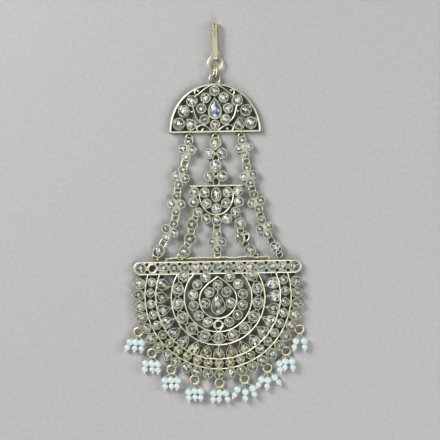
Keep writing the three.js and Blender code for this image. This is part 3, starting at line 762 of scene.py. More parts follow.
def addSheet(work, shapes, wires=(), holes=(), bottom=0.0, top=levels["plate"]):
    loops = [thinned(loop) for loop in edgeLoops(*sheetField(shapes, list(wires), holes))]
    loops = [loop for loop in loops if len(loop) > 3 and abs(areaOf(loop)) > sheet["smallestGap"]]
    step = sheet["roundOver"]
    layers = [
        ([inset(loop, step * 0.5) for loop in loops], bottom),
        (loops, bottom + step * 0.5),
        (loops, top - step),
        ([inset(loop, step) for loop in loops], top),
    ]
    spots = [(x, y, z) for rims, z in layers for loop in rims for x, y in loop]
    count = sum(len(loop) for loop in loops)
    faces, edges, first = [], [], 0
    for loop in loops:
        n = len(loop)
        edges += [(first + i, first + (i + 1) % n) for i in range(n)]
        for low in (first, count + first, 2 * count + first):
            for i in range(n):
                j = (i + 1) % n
                faces.append((low + i, low + j, low + count + j, low + count + i))
        first += n
    for layer, facing in ((0, -1), (3, 1)):
        faces += sheetSide(spots, layer * count, count, edges, *layers[layer], facing)
    addFaces(work, spots, faces)
    outer = sum(areaOf(loop) > 0 for loop in loops)
    print("  sheet:", outer, "outline(s),", len(loops) - outer, "gaps,", count, "edge points")


def outlineOf(place, line, half, sides=24):
    return [spot[:2] for spot in outlineRing(place, line, half, 0, sides)]


# Settings: half sizes of the foot, and how much wider it is than the mouth, which is the wall

commonHalf = 2.07
commonTurn = 22.5  # the flat sides of the eight-sided table then lie square to the jewel
tuck = 0.05  # how far a stone goes in under its collar
commonCollar = {"wall": 0.56, "shoulder": 2.04, "groove": 0.36}


def addSetting(metal, stones, place, foot, footLine=roundLine, line=None, tint=0.0, **collar):
    line = line or footLine
    collar = collar or dict(commonCollar)
    wall = collar.pop("wall")
    mouth = (foot[0] - wall, foot[1] - wall)
    addCollar(metal, place, footLine, foot, line, mouth, **collar)
    addStone(stones, place, line, (mouth[0] + tuck, mouth[1] + tuck), tint)


# The metal takes the place of the node, and the bright wire and the stones ride on it
def makeSet(name, metal, stones, wire=None, wireName="rings"):
    makePiece(metal, name + "_metal", antiqueGilt, [name])
    if wire:
        makePiece(wire, f"{name}_{wireName}", ringGilt, [])
    makePiece(stones, name + "_stones", foiledStone, [], creaseOver=0)


warmth = {"below": -9, "over": 16, "most": 0.9}


def tintNear(y):  # the lower stones have a warmer foil
    share = min(warmth["most"], max(0.0, (warmth["below"] - y) / warmth["over"]))
    return share * chance.uniform(0.6, 1.1) + chance.uniform(0, 0.2)


# A plaque is gathered from its metal and stones, and the shapes, wires and holes of its pierced sheet
def startPlaque():
    return {"metal": startWork(), "stones": startWork(), "shapes": [], "wires": [], "holes": []}


def putSetting(plaque, place, half, footLine=roundLine, line=None, margin=0.04, **more):
    plaque["shapes"].append(outlineOf(place, footLine, (half[0] + margin, half[1] + margin)))
    addSetting(plaque["metal"], plaque["stones"], place, half, footLine, line, **more)


# A place without a stone: a hole with a lip of wire
def putEmpty(plaque, place, half, hole, lip, wire):
    plaque["shapes"].append(outlineOf(place, roundLine, (half, half)))
    plaque["holes"].append(outlineOf(place, roundLine, (hole, hole)))
    addWire(plaque["metal"], arcRun(place, lip, 0, 345, 23, levels["lip"]), wire, closed=True)


# Short ties in the sheet, given for the right side as (x, y, x, y, half width) and built on both
def addTies(plaque, ties):
    for side in (-1, 1):
        plaque["wires"] += [([(side * x0, y0), (side * x1, y1)], half) for x0, y0, x1, y1, half in ties]


# Ties on the middle line, as (y, y, half width)
def addMiddleTies(plaque, ties):
    plaque["wires"] += [([(0, low), (0, high)], half) for low, high, half in ties]


# Crescent plaque

# A row's step is in degrees. A tie is the half width that a wire has in the pierced sheet below it.
crescent = {
    "outerRow": {
        "middle": (0, 0.5),
        "radius": 31.8,
        "count": 25,
        "step": 8.25,
        "half": 2.2,
        "round": {"wall": 0.7, "shoulder": 2.05, "groove": 0.5},
        "pointed": {"wall": 0.72, "shoulder": 2.05, "groove": 0.5},
        "eyeReach": 33.6,
    },
    "smallRow": {"middle": (0, 0.1), "radius": 27.0, "count": 23, "step": 9.33, "half": 1.8, "wall": 0.34},
    "pearRow": {
        "middle": (0, -0.6),
        "radius": 22.2,
        "count": 17,
        "step": 13,
        "half": (2.38, 2.9),
        "wall": 0.36,
    },
    "lensRow": {"middle": (0, -0.6), "radius": 16.25, "count": 13, "step": 20.5, "half": 1.98},
    "lensCell": {"half": (2.95, 2.35), "wire": 0.22, "tie": 0.26},
    "innerRow": {"middle": (0, -1.2), "radius": 10.1, "count": 13, "step": 25.2, "half": 2.08, "empty": 6},
    "emptyCup": {"half": 1.95, "hole": 1.2, "lip": 1.5, "wire": 0.32},
    "emptyCell": [(0, -8.95), (2.15, -11.1), (1.9, -12.1), (0, -14.3), (-1.9, -12.1), (-2.15, -11.1)],
    "cellWire": {"z": 1.7, "wire": 0.25, "tie": 0.3},
    "cellGrain": {"at": (1.65, -12.35, 1.75), "radius": 0.45},
    "heart": [(0, 4.5), (3.4, 1.6), (-3.4, 1.6), (5.1, -2.7), (-5.1, -2.7)],
    "heartPear": {"at": (0, -2.95), "half": (2.95, 4.5), "wall": 0.4, "tint": 0.1},
    "bar": {"low": 8.75, "high": 14.25, "reach": 33.7, "count": 15, "step": 4.34, "half": 2.08, "empty": 1},
    "barEnds": {"half": 2.3, "shift": 0.35},
    "barCup": {"hole": 1.3, "lip": 1.66, "wire": 0.34},
    "barRim": {"z": 1.62, "wire": 0.34, "inside": 0.36, "tie": 0.42},
    "barFiller": {"bottom": 1.2, "top": 1.74, "emptyDot": 1.5, "dots": (0.55, 0.7), "dotReach": 1.6},
    "roundWires": [  # middle, radius, and lift over the other wires
        ((0, 0.2), 29.2, -0.1),
        ((0, -0.1), 24.9, 0.2),
        ((0, -0.7), 18.7, 0),
        ((0, -0.7), 13.5, 0),
    ],
    "onion": {"middle": (0, -1.4), "radius": 7.45, "tip": 7.9},
    "wire": 0.32,
    "wireTie": 0.36,
    "smallTie": 0.42,
    "ties": [
        (31.2, 7.0, 31.2, 9.05, 0.4),
        (26.6, 7.0, 26.6, 9.05, 0.4),
        (21.4, 6.0, 21.4, 9.05, 0.4),
        (9.9, 7.0, 9.9, 9.05, 0.4),
        (5.4, 6.6, 5.4, 9.05, 0.4),
        (2.9, -6.6, 1.9, -8.4, 0.3),
        (6.6, -2.9, 7.4, -3.1, 0.35),
    ],
    "drops": range(4, 21, 2),
}
strandEnds = {
    "left": (-25.3, 14.95),
    "right": (25.3, 14.95),
    "middle": (0.05, 14.95),
    "innerLeft": (-15.6, 14.95),
    "innerRight": (15.7, 14.95),
}


def rowAngle(row, i):
    return -90 + (i - (row["count"] - 1) / 2) * row["step"]


def rowPlaces(row):
    angles = [rowAngle(row, i) for i in range(row["count"])]
    return [(*onCircle(row["middle"], row["radius"], angle), angle) for angle in angles]


def barPlaces():
    bar = crescent["bar"]
    y = (bar["low"] + bar["high"]) / 2
    return [((i - (bar["count"] - 1) / 2) * bar["step"], y, 0) for i in range(bar["count"])]


def barRim(inside):
    bar = crescent["bar"]
    end = (bar["high"] - bar["low"]) / 2
    y, x, radius = bar["low"] + end, bar["reach"] - end, end - inside
    return arcRun((x, y), radius, -90, 90, 14) + arcRun((-x, y), radius, 90, 270, 14)


# The four wires between the rows end just inside the bar
def roundWires():
    top = crescent["bar"]["low"] + 0.2
    runs = []
    for middle, radius, _ in crescent["roundWires"]:
        rise = math.degrees(math.asin((top - middle[1]) / radius))
        runs.append(arcRun(middle, radius, 180 - rise, 360 + rise, 72))
    return runs


def onionRun():
    onion = crescent["onion"]
    (x, y), radius, tip = onion["middle"], onion["radius"], onion["tip"]
    left = arcRun((x, y), radius, 150, 390, 48)
    rise = smoothRun([left[-1], (x + 3.7, y + 6.6), (x + 1.4, tip - 1.1), (x, tip)], 5)
    return left + rise[1:] + [(2 * x - px, py) for px, py in reversed(rise)][1:-1]


# The scalloped edge: round settings where a drop hangs, and pointed ones between
def setOuterRow(plaque):
    row = crescent["outerRow"]
    half = row["half"]
    for i, (x, y, angle) in enumerate(rowPlaces(row)):
        place = (x, y, angle - 90)
        if i in crescent["drops"]:
            putSetting(plaque, place, (half, half), tint=tintNear(y) * 0.6, **row["round"])
            hangsAt = onCircle(row["middle"], row["eyeReach"], angle)
            addEye(plaque["metal"], (*hangsAt, angle + 90), along=0.75)
        else:
            addGrain(plaque["metal"], settle(place, 0, half + 0.3, 1.7), 0.3)
            putSetting(plaque, place, (half, half + 0.1), ogeeLine, roundLine, **row["pointed"])


def setSmallRow(plaque):
    row = crescent["smallRow"]
    for x, y, angle in rowPlaces(row):
        putSetting(plaque, (x, y, angle), (row["half"],) * 2, wall=row["wall"], tint=tintNear(y) * 0.8)


def setPearRow(plaque):
    row = crescent["pearRow"]
    for x, y, angle in rowPlaces(row):
        place = (x, y, angle + 90)
        putSetting(plaque, place, row["half"], pearLine, wall=row["wall"], tint=tintNear(y))
        addGrain(plaque["metal"], settle(place, 0, row["half"][1] + 0.25, 1.75), 0.36)


# Round settings, each in a pointed cell of fine wire
def setLensRow(plaque):
    row, cell = crescent["lensRow"], crescent["lensCell"]
    for x, y, angle in rowPlaces(row):
        place = (x, y, angle + 90)
        putSetting(plaque, place, (row["half"],) * 2)
        run = outlineRing(place, lozengeLine, cell["half"], levels["wire"])
        plaque["wires"].append(([spot[:2] for spot in run + run[:1]], cell["tie"]))
        addWire(plaque["metal"], run, cell["wire"], closed=True, sides=6)


def addEmptyCell(plaque):
    run, wire = crescent["emptyCell"], crescent["cellWire"]
    addWire(plaque["metal"], raised(run, wire["z"]), wire["wire"], closed=True)
    plaque["wires"].append((run + run[:1], wire["tie"]))
    x, y, z = crescent["cellGrain"]["at"]
    for side in (-1, 1):
        addBall(plaque["metal"], (side * x, y, z), crescent["cellGrain"]["radius"])


def setInnerRow(plaque):
    row = crescent["innerRow"]
    for i, place in enumerate(rowPlaces(row)):
        if i == row["empty"]:
            putEmpty(plaque, place, **crescent["emptyCup"])
            addEmptyCell(plaque)
        else:
            putSetting(plaque, place, (row["half"],) * 2)


def setHeart(plaque):
    for x, y in crescent["heart"]:
        putSetting(plaque, (x, y, commonTurn), (commonHalf, commonHalf))
    pear = crescent["heartPear"]
    (x, y), half = pear["at"], pear["half"]
    putSetting(plaque, (x, y, 0), half, pearLine, wall=pear["wall"], tint=pear["tint"])
    addGrain(plaque["metal"], (x, y + half[1] + 0.35, 1.8), 0.42)


# The bar's settings stand in a raised filler sheet with small round holes between them
def setBar(plaque):
    bar, ends, filler = crescent["bar"], crescent["barEnds"], crescent["barFiller"]
    places, dots = barPlaces(), []
    for i, (x, y, _) in enumerate(places):
        end = i in (0, bar["count"] - 1)
        half = ends["half"] if end else bar["half"]
        place = (x + math.copysign(ends["shift"], x), y, 0) if end else (x, y, 0)
        if i == bar["empty"]:
            putEmpty(plaque, place, half, **crescent["barCup"])
            dots.append(outlineOf(place, roundLine, (filler["emptyDot"],) * 2))
        else:
            putSetting(plaque, place, (half, half))
            dots.append(outlineOf(place, roundLine, (half - 0.1, half - 0.1)))
    for (before, y, _), (after, _, _) in zip(places, places[1:]):
        for side in (1, -1):
            size = chance.uniform(*filler["dots"])
            x = (before + after) / 2 + chance.uniform(-0.08, 0.08)
            dot = outlineOf((x, y + side * filler["dotReach"], 0), roundLine, (size, size * 1.05), 12)
            plaque["holes"].append(dot)
            dots.append(dot)
    addSheet(plaque["metal"], [barRim(0.5)], holes=dots, bottom=filler["bottom"], top=filler["top"])


# The thin uneven wire that runs above the bar and is bent down at its ends
rail = {"y": 15.5, "reach": 20.6, "straight": 19.6, "foot": 1.6, "z": 1.1, "wire": 0.31}


def crescentRail():
    work = startWork()
    reach, height, straight = rail["reach"], rail["y"], rail["straight"]
    points = [(-reach, height - rail["foot"]), (-reach, height - 0.1)]
    for x in np.linspace(-straight, straight, 60).tolist():
        points.append((x, height + 0.16 * math.sin(x * 0.7) + 0.07 * math.sin(x * 2.3)))
    points += [(reach, height - 0.1), (reach, height - rail["foot"])]
    addWire(work, [(x, y, rail["z"] + 0.25 * math.sin(x * 0.5)) for x, y in points], rail["wire"])
    return work


def crescentPlaque():
    plaque = startPlaque()
    for setPart in (setOuterRow, setSmallRow, setPearRow, setLensRow, setInnerRow, setHeart, setBar):
        setPart(plaque)
    metal, wires, rimWire = plaque["metal"], plaque["wires"], crescent["barRim"]
    places = rowPlaces(crescent["smallRow"])
    wires += [([a[:2], b[:2]], crescent["smallTie"]) for a, b in zip(places, places[1:])]
    onion, rim = onionRun(), barRim(rimWire["inside"])
    wires += [(run, crescent["wireTie"]) for run in (*roundWires(), onion + onion[:1])]
    wires.append((rim + rim[:1], rimWire["tie"]))
    plaque["shapes"].append(barRim(0.4))
    addTies(plaque, crescent["ties"])
    addSheet(metal, plaque["shapes"], wires, plaque["holes"])
    for run, (_, _, lift) in zip(roundWires(), crescent["roundWires"]):
        addWire(metal, raised(run, levels["wire"] + lift), crescent["wire"])
    addWire(metal, raised(onion, levels["wire"]), crescent["wire"], closed=True)
    addWire(metal, raised(rim, rimWire["z"]), rimWire["wire"], closed=True)
    for x, y in strandEnds.values():
        addEye(metal, (x, y, 0), along=eye["plaqueAlong"])
    makeSet("crescent_plaque", metal, plaque["stones"], crescentRail(), "rail")


crescentPlaque()
print("crescent plaque made")


# Shield plaque

shield = {
    "stones": [(8.8, 41.8), (4.65, 41.5), (9.0, 37.65), (3.9, 37.05), (7.55, 33.6), (4.2, 30.9)],
    "middle": [(0, 35.0), (0, 30.1)],
    "oval": {"at": (0, 40.5), "half": (2.2, 3.0), "wall": 0.5},
    "bar": {"y": 44.2, "reach": 10.7, "z": 1.7, "wire": 0.36},
    "bow": {"at": (0, 40.5), "half": (6.75, 8.0), "wire": 0.32, "tie": 0.34},
    "eyes": [(0.05, 44.0, 0), (0.05, 29.0, 0)],
    "ties": [
        (8.8, 42.5, 8.8, 44.2, 0.6),
        (4.6, 42.5, 4.6, 44.2, 0.4),
        (4.65, 41.5, 3.9, 37.05, 0.4),
        (8.8, 41.8, 9.0, 37.6, 0.5),
        (2.0, 40.3, 3.9, 39.3, 0.35),
        (2.0, 35.6, 2.4, 36.2, 0.4),
    ],
    "middleTies": [(43.0, 44.3, 0.5), (37.9, 36.5, 0.4)],
}
innerStrands = {
    "left": {
        "from": (-8.15, 32.3, -27),
        "stones": [(-9.9, 28.9), (-10.72, 23.1), (-13.1, 18.0)],
        "turned": None,
        "end": strandEnds["innerLeft"],
    },
    "right": {
        "from": (8.15, 32.3, 27),
        "stones": [(9.3, 28.9), (9.7, 23.1), (13.1, 18.1)],
        "turned": 1,
        "end": strandEnds["innerRight"],
    },
}


def shieldPlaque():
    plaque = startPlaque()
    metal = plaque["metal"]
    places = [(side * x, y, commonTurn) for side in (-1, 1) for x, y in shield["stones"]]
    places += [(x, y, commonTurn) for x, y in shield["middle"]]
    for place in places:
        putSetting(plaque, place, (commonHalf, commonHalf), margin=0.03)
    oval, bar, bow = shield["oval"], shield["bar"], shield["bow"]
    putSetting(plaque, (*oval["at"], 0), oval["half"], margin=0, wall=oval["wall"])
    (x, y), (a, b) = bow["at"], bow["half"]
    bowRun = [(x + a * px, y + b * py) for px, py in arcRun((0, 0), 1, 176, 364, 40)]
    barRun = [(-bar["reach"], bar["y"]), (bar["reach"], bar["y"])]
    plaque["wires"] += [(bowRun, bow["tie"]), (barRun, bar["wire"])]
    addTies(plaque, shield["ties"])
    addMiddleTies(plaque, shield["middleTies"])
    addSheet(metal, plaque["shapes"], plaque["wires"])
    addWire(metal, raised(bowRun, levels["wire"]), bow["wire"])
    addWire(metal, raised(barRun, bar["z"]), bar["wire"])
    for place in [*shield["eyes"], *[strand["from"] for strand in innerStrands.values()]]:
        addEye(metal, place, along=eye["plaqueAlong"])
    makeSet("shield_plaque", metal, plaque["stones"])


shieldPlaque()
print("shield plaque made")


# Half-round plaque

crown = {
    "base": 65.9,
    "half": (18.2, 19.15),
    "petals": [
        (0, 82.1), (3.6, 79.35), (5.4, 75.1), (4.15, 70.6),
        (0, 68.5), (-4.15, 70.6), (-5.4, 75.1), (-3.6, 79.35),
    ],
    "pear": {"at": (0, 75.1), "half": (2.8, 4.4)},
    "pearCollar": {"wall": 0.66, "shoulder": 2.0, "groove": 0.12},
    "sides": [(9.15, 78.25, 2.35), (12.55, 74.3, 2.4), (14.6, 69.2, 2.5)],
    "sideWall": 0.5,
    "leaf": {"at": (9.7, 69.0), "half": (2.2, 2.7), "wall": 0.48, "lean": {-1: 34, 1: 0}},
    "scrolls": [
        [(0.8, 84.6), (3.6, 83.1), (6.0, 81.2), (7.9, 79.9)],
        [(7.3, 80.2), (7.9, 81.3), (7.75, 82.3), (7.0, 82.5), (6.6, 82.1)],
        [(8.95, 76.6), (8.5, 74.8), (7.9, 72.6), (7.0, 70.8), (5.7, 69.7)],
        [(7.3, 67.6), (5.4, 68.5), (3.3, 67.8), (1.3, 66.2)],
        [(7.3, 67.6), (7.15, 66.5), (6.2, 65.9), (5.3, 66.2), (5.0, 66.8)],
    ],
    "scroll": {"wire": 0.29, "tie": 0.28},
    "grains": [(6.57, 82.14), (9.15, 73.85), (4.85, 66.9)],
    "grain": 0.5,
    "topGrain": {"at": (0, 84.35, 1.7), "radius": 0.36},
    "arch": {"z": 1.62, "wire": 0.4, "inside": 0.36},
    "bar": {"z": 1.6, "wire": 0.42},
    "loop": {"at": (0.15, 86.75), "radius": 2.1, "wire": 0.4, "z": 1.2},
    "eyes": [(-10.35, 64.95, -8), (10.4, 65.05, 8), (0.1, 64.95, 0)],
    "ties": [
        (9.7, 66.4, 9.7, 67.0, 0.5),
        (14.6, 66.2, 14.6, 67.2, 0.5),
        (2.0, 80.8, 1.9, 80.2, 0.4),
        (2.0, 69.4, 2.5, 69.8, 0.4),
        (4.6, 73.0, 4.9, 72.6, 0.45),
        (4.3, 77.4, 4.6, 77.0, 0.45),
        (2.6, 74.6, 3.6, 74.9, 0.35),
        (8.6, 76.3, 9.2, 76.2, 0.4),
        (10.4, 76.6, 11.2, 76.0, 0.5),
        (13.2, 72.0, 13.9, 71.5, 0.5),
        (11.6, 69.2, 12.3, 69.2, 0.5),
        (7.2, 68.6, 7.7, 68.8, 0.4),
    ],
    "middleTies": [(70.4, 71.0, 0.4), (79.4, 80.2, 0.4), (84.0, 84.8, 0.6), (66.3, 66.7, 0.6)],
}


# The three larger settings, the leaf, the scrolls and the grains of one side
def setCrownSide(plaque, side):
    for x, y, radius in crown["sides"]:
        turn = math.degrees(math.atan2(x, crown["base"] - 6 - y)) * side
        place = (side * x, y, turn + 180)
        putSetting(plaque, place, (radius, radius), ogeeLine, roundLine, wall=crown["sideWall"])
    leaf, scroll = crown["leaf"], crown["scroll"]
    place = (side * leaf["at"][0], leaf["at"][1], leaf["lean"][side])
    putSetting(plaque, place, leaf["half"], pearLine, wall=leaf["wall"])
    for points in crown["scrolls"]:
        run = smoothRun([(side * x, y) for x, y in points])
        plaque["wires"].append((run, scroll["tie"]))
        addWire(plaque["metal"], raised(run, levels["wire"]), scroll["wire"])
    for x, y in crown["grains"]:
        addBall(plaque["metal"], (side * x, y, 1.8), crown["grain"])
        plaque["shapes"].append(outlineOf((side * x, y, 0), roundLine, (crown["grain"],) * 2, 10))


def crownPlaque():
    plaque, centre = startPlaque(), startWork()
    metal = plaque["metal"]
    for x, y in crown["petals"]:
        putSetting(plaque, (x, y, commonTurn), (commonHalf, commonHalf))
    pear, arch, bar, loop = crown["pear"], crown["arch"], crown["bar"], crown["loop"]
    place = (*pear["at"], 0)
    plaque["shapes"].append(outlineOf(place, pearLine, pear["half"]))
    addSetting(metal, centre, place, pear["half"], pearLine, **crown["pearCollar"])
    for side in (-1, 1):
        setCrownSide(plaque, side)
    addGrain(metal, crown["topGrain"]["at"], crown["topGrain"]["radius"])
    base = crown["base"]
    a, b = crown["half"][0] - arch["inside"], crown["half"][1] - arch["inside"]
    archRun = [(a * px, base + b * py) for px, py in arcRun((0, 0), 1, 0, 180, 60)]
    barRun = [(-a, base - 0.05), (a, base - 0.05)]
    plaque["wires"] += [(archRun, arch["wire"]), (barRun, bar["wire"])]
    addTies(plaque, crown["ties"])
    addMiddleTies(plaque, crown["middleTies"])
    addSheet(metal, plaque["shapes"], plaque["wires"])
    addWire(metal, raised([barRun[1], *archRun[1:-1], barRun[0]], arch["z"]), arch["wire"])
    addWire(metal, raised(barRun, bar["z"]), bar["wire"])
    addWire(metal, arcRun(loop["at"], loop["radius"], 0, 352.5, 47, loop["z"]), loop["wire"], closed=True)
    for place in crown["eyes"]:
        addEye(metal, place, along=eye["plaqueAlong"])
    makeSet("crown_plaque", metal, plaque["stones"])
    makePiece(centre, "crown_plaque_centre_stone", milkyStone, [], creaseOver=0)


crownPlaque()
print("half-round plaque made")


# Strands

link = {  # a quatrefoil: along and across are from its middle to its settings
    "petal": 1.82,
    "wall": 0.44,
    "along": 3.1,
    "across": 1.9,
    "eye": 3.65,
    "spine": 2.9,
    "core": [(1.2, 0.6), (1.4, 0.7), (1.4, 1.65), (1.15, 1.82)],  # half width and height
    "grains": [(0, 0.05), (0.5, 0.5), (-0.5, 0.5), (0.5, -0.5), (-0.5, -0.5)],
    "grain": 0.3,
    "grainZ": 1.88,
}
trefoil = {
    "head": 2.35,
    "foot": {"at": (2.5, -4.3), "half": 2.2},
    "collar": {"wall": 0.58, "shoulder": 2.02, "groove": 0.3},
    "bow": [(-1.5, -3.1), (0, -2.3), (1.5, -3.1)],
    "bowZ": 1.3,
    "bowWire": 0.3,
    "topEye": 1.15,
    "footEye": -4.9,
}
ovalEnd = {"half": (2.35, 2.8), "collar": {"wall": 0.44, "base": 0.9}, "spine": 1.1, "eye": 1.65}
spine = {"half": 0.28, "bottom": 0.25, "top": 1.3, "round": 0.1}
ringShape = {"wire": 0.28, "half": 1.22}


# A square bar down the middle of a link, which carries its settings and eyes
def addSpine(work, place, low, high):
    rings = []
    step, bottom, top = spine["round"], spine["bottom"], spine["top"]
    for z, shy in ((bottom, step), (bottom + step, 0.0), (top - step, 0.0), (top, step)):
        half = spine["half"] - shy
        corners = ((-half, low), (half, low), (half, high), (-half, high))
        rings.append([settle(place, u, v, z) for u, v in corners])
    addLoft(work, rings)


def addEyePair(work, place, reach):
    for side in (-1, 1):
        x, y, _ = settle(place, 0, side * reach, 0)
        addEye(work, (x, y, place[2]))


def quatrefoilLink(node):
    metal, stones = startWork(), startWork()
    place = layOf(node)["place"]
    for u, v in ((0, 1), (0, -1), (1, 0), (-1, 0)):
        x, y, _ = settle(place, u * link["across"], v * link["along"], 0)
        collar = {"wall": link["wall"], "base": 1.25 if v else 0.1}
        tint = chance.uniform(0, 0.2)
        addSetting(metal, stones, (x, y, place[2]), (link["petal"],) * 2, tint=tint, **collar)
    addLoft(metal, [outlineRing(place, roundLine, (half, half * 1.15), z, 16) for half, z in link["core"]])
    for u, v in link["grains"]:
        addGrain(metal, settle(place, u, v, link["grainZ"]), link["grain"])
    addSpine(metal, place, -link["spine"], link["spine"])
    addEyePair(metal, place, link["eye"])
    makeSet(node, metal, stones)


def trefoilLink(node):
    metal, stones = startWork(), startWork()
    low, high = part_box(node)
    head, foot, collar = trefoil["head"], trefoil["foot"], trefoil["collar"]
    x, y = (low[0] + high[0]) / 2 / mm, high[1] / mm - head * math.cos(math.radians(commonTurn))
    addSetting(metal, stones, (x, y, commonTurn), (head, head), **collar)
    across, down = foot["at"]
    for side in (-1, 1):
        place = (x + side * across, y + down, commonTurn)
        addSetting(metal, stones, place, (foot["half"],) * 2, base=0.1, **collar)
    addBall(metal, (x, y + down, 1.5), 0.5)
    addGrain(metal, (x, y - 2.6, 1.75), 0.36)
    addWire(metal, [(x + u, y + v, trefoil["bowZ"]) for u, v in trefoil["bow"]], trefoil["bowWire"])
    addSpine(metal, (x, y, 0), trefoil["footEye"] + 0.6, trefoil["topEye"] - 0.6)
    for along in (trefoil["topEye"], trefoil["footEye"]):
        addEye(metal, (x, y + along, 0))
    makeSet(node, metal, stones)


def ovalDrop(node):
    metal, stones = startWork(), startWork()
    place = layOf(node)["place"]
    addSetting(metal, stones, place, ovalEnd["half"], **ovalEnd["collar"])
    addSpine(metal, place, -ovalEnd["spine"], ovalEnd["spine"])
    addEyePair(metal, place, ovalEnd["eye"])
    makeSet(node, metal, stones)


def strandRing(node):
    work, lay, wire = startWork(), layOf(node), ringShape["wire"]
    addOvalRing(work, lay["place"], lay["z"], lay["reach"] - wire, ringShape["half"], wire)
    makePiece(work, node + "_wire", ringGilt, [node])


for side in ("left", "right"):
    for i in range(1, 5):
        quatrefoilLink(f"{side}_link_{i}")
    for i in range(1, 7):
        strandRing(f"{side}_ring_{i}")
    ovalDrop(f"{side}_oval_drop")
for i in (1, 2):
    trefoilLink(f"middle_trefoil_{i}")
for i in range(1, 6):
    strandRing(f"middle_ring_{i}")
quatrefoilLink("middle_foot_link")
print("strands hung")


# Inner strands

inner = {  # reach is from a setting's middle to the ring above the first one or below the last
    "half": 2.45,
    "collar": {"wall": 0.85, "base": 0.65, "shoulder": 2.05, "groove": 0.5},
    "reach": 1.75,
    "ringInset": 1.5,
}

# Each profile is a list of (half width, height), from the underside up; arms are (half width, points).
turned = {
    "lean": 12,
    "back": [
        (1.7, 0.06), (2.1, 0.3), (2.42, 0.8), (2.45, 1.5),
        (2.36, 1.72), (2.2, 1.76), (2.05, 1.7), (1.95, 1.5),
    ],
    "dome": [(1.55, 1.48), (1.4, 1.75), (1.0, 1.95), (0.5, 2.02)],
    # under is a low sheet that stands in for the shadow beneath the lug
    "under": [(1.35, 0.3), (1.5, 0.4), (1.5, 0.85), (1.35, 0.95)],
    "arms": [
        (0.5, [(0.15, 1.7), (0.95, 0.9), (1.15, -0.1), (0.8, -1.3)]),
        (0.42, [(0.9, 1.0), (2.0, 1.15), (2.9, 0.8)]),
        (0.3, [(0.8, -1.3), (1.5, -1.5), (2.1, -1.6)]),
    ],
    "lug": [(2.0, 2.3), (2.9, 1.4), (3.15, 0.3), (2.8, -0.9), (1.9, -1.7)],
}


def leanTo(a, b):
    return math.degrees(math.atan2(b[0] - a[0], a[1] - b[1]))


def pushed(spot, lean, along):
    angle = math.radians(lean)
    return (spot[0] + math.sin(angle) * along, spot[1] - math.cos(angle) * along)


def addRingBetween(work, a, b, shorter=0.0):
    place = ((a[0] + b[0]) / 2, (a[1] + b[1]) / 2, leanTo(a, b))
    half = math.dist(a, b) / 2 - shorter
    addOvalRing(work, place, levels["ring"], half, ringShape["half"], ringShape["wire"])


# A setting that lies half over: its dull open back on one side, a bright folded lug on the other
def turnedSetting(metal, stones, place):
    def profileRings(profile, across, wide, long, sides=24):
        x, y, _ = settle(place, across, 0, 0)
        at = (x, y, place[2])
        return [outlineRing(at, roundLine, (reach * wide, reach * long), z, sides) for reach, z in profile]

    addLoft(metal, profileRings(turned["back"], -0.5, 0.84, 1.04))
    addLoft(stones, profileRings(turned["dome"], -0.7, 0.86, 1.1, 16))
    addLoft(metal, profileRings(turned["under"], 1.5, 1, 1.4))  # a low sheet under the lug's openings, dark by its height: painted shade where only shadow falls
    for half, run in turned["arms"]:
        addWire(metal, [settle(place, u, v, 2.1) for u, v in smoothRun(run, 4)], half, flat=0.6)
    addWire(metal, [settle(place, u, v, 1.95) for u, v in smoothRun(turned["lug"], 4)], 0.3)


def innerStrand(side):
    strand = innerStrands[side]
    metal, stones, rings = startWork(), startWork(), startWork()
    spots, hung, end = strand["stones"], strand["from"], strand["end"]
    for i, (x, y) in enumerate(spots):
        if i == strand["turned"]:
            turnedSetting(metal, stones, (x, y, turned["lean"]))
        else:
            addSetting(metal, stones, (x, y, 0), (inner["half"],) * 2, **inner["collar"])
    first = pushed(spots[0], leanTo(hung, spots[0]), -inner["reach"])
    last = pushed(spots[-1], leanTo(spots[-1], end), inner["reach"])
    addRingBetween(rings, hung[:2], first)
    addRingBetween(rings, last, end)
    for a, b in zip(spots, spots[1:]):
        addRingBetween(rings, a, b, shorter=inner["ringInset"])
    makeSet(f"{side}_inner_strand", metal, stones, rings)


for side in ("left", "right"):
    innerStrand(side)
print("inner strands hung")


# Pearl drops

# reach is from the outer row's middle to a ring's, and step from a big pearl to the small one below it.
drop = {
    "radius": 1.72,
    "wire": 0.34,
    "reach": 35.32,
    "big": 1.5,
    "small": 1.22,
    "step": 2.4,
    "tip": 3.72,
    "tipBall": 0.46,
    "capBall": 0.3,
    "capReach": 1.3,
    "high": 1.4,
    "flat": 0.93,
    "loop": 0.4,
    "loopWire": 0.17,
    "stemWire": 0.18,
    "pinWire": 0.16,
}

# Where each pin's big pearl lies from its ring's middle, and its lean, by the setting that it hangs under
pins = {
    4: [(-3.3, -4.0, -28), (-0.9, -4.1, -12), (1.5, -4.3, -6)],
    6: [(-2.5, -4.0, -10), (-0.1, -4.1, 4), (2.3, -4.4, 0)],
    8: [(-2.6, -4.3, 2), (-0.1, -4.2, 2), (2.4, -4.3, -4)],
    10: [(-2.3, -4.75, -1), (0.1, -4.5, 1), (2.5, -4.75, -2)],
    12: [(-2.5, -4.1, -4), (0, -4.0, -6), (2.5, -4.1, 14)],
    14: [(-2.9, -4.2, -30), (0.2, -5.2, 0), (3.2, -3.8, 16)],
    16: [(-2.5, -4.5, -28), (0.1, -4.9, -8), (2.9, -3.8, 37)],
    18: [(-2.8, -5.0, 6), (-0.4, -4.1, -6), (2.3, -4.2, 6)],
    20: [(-1.4, -4.7, -16), (1.9, -4.7, 4)],
}


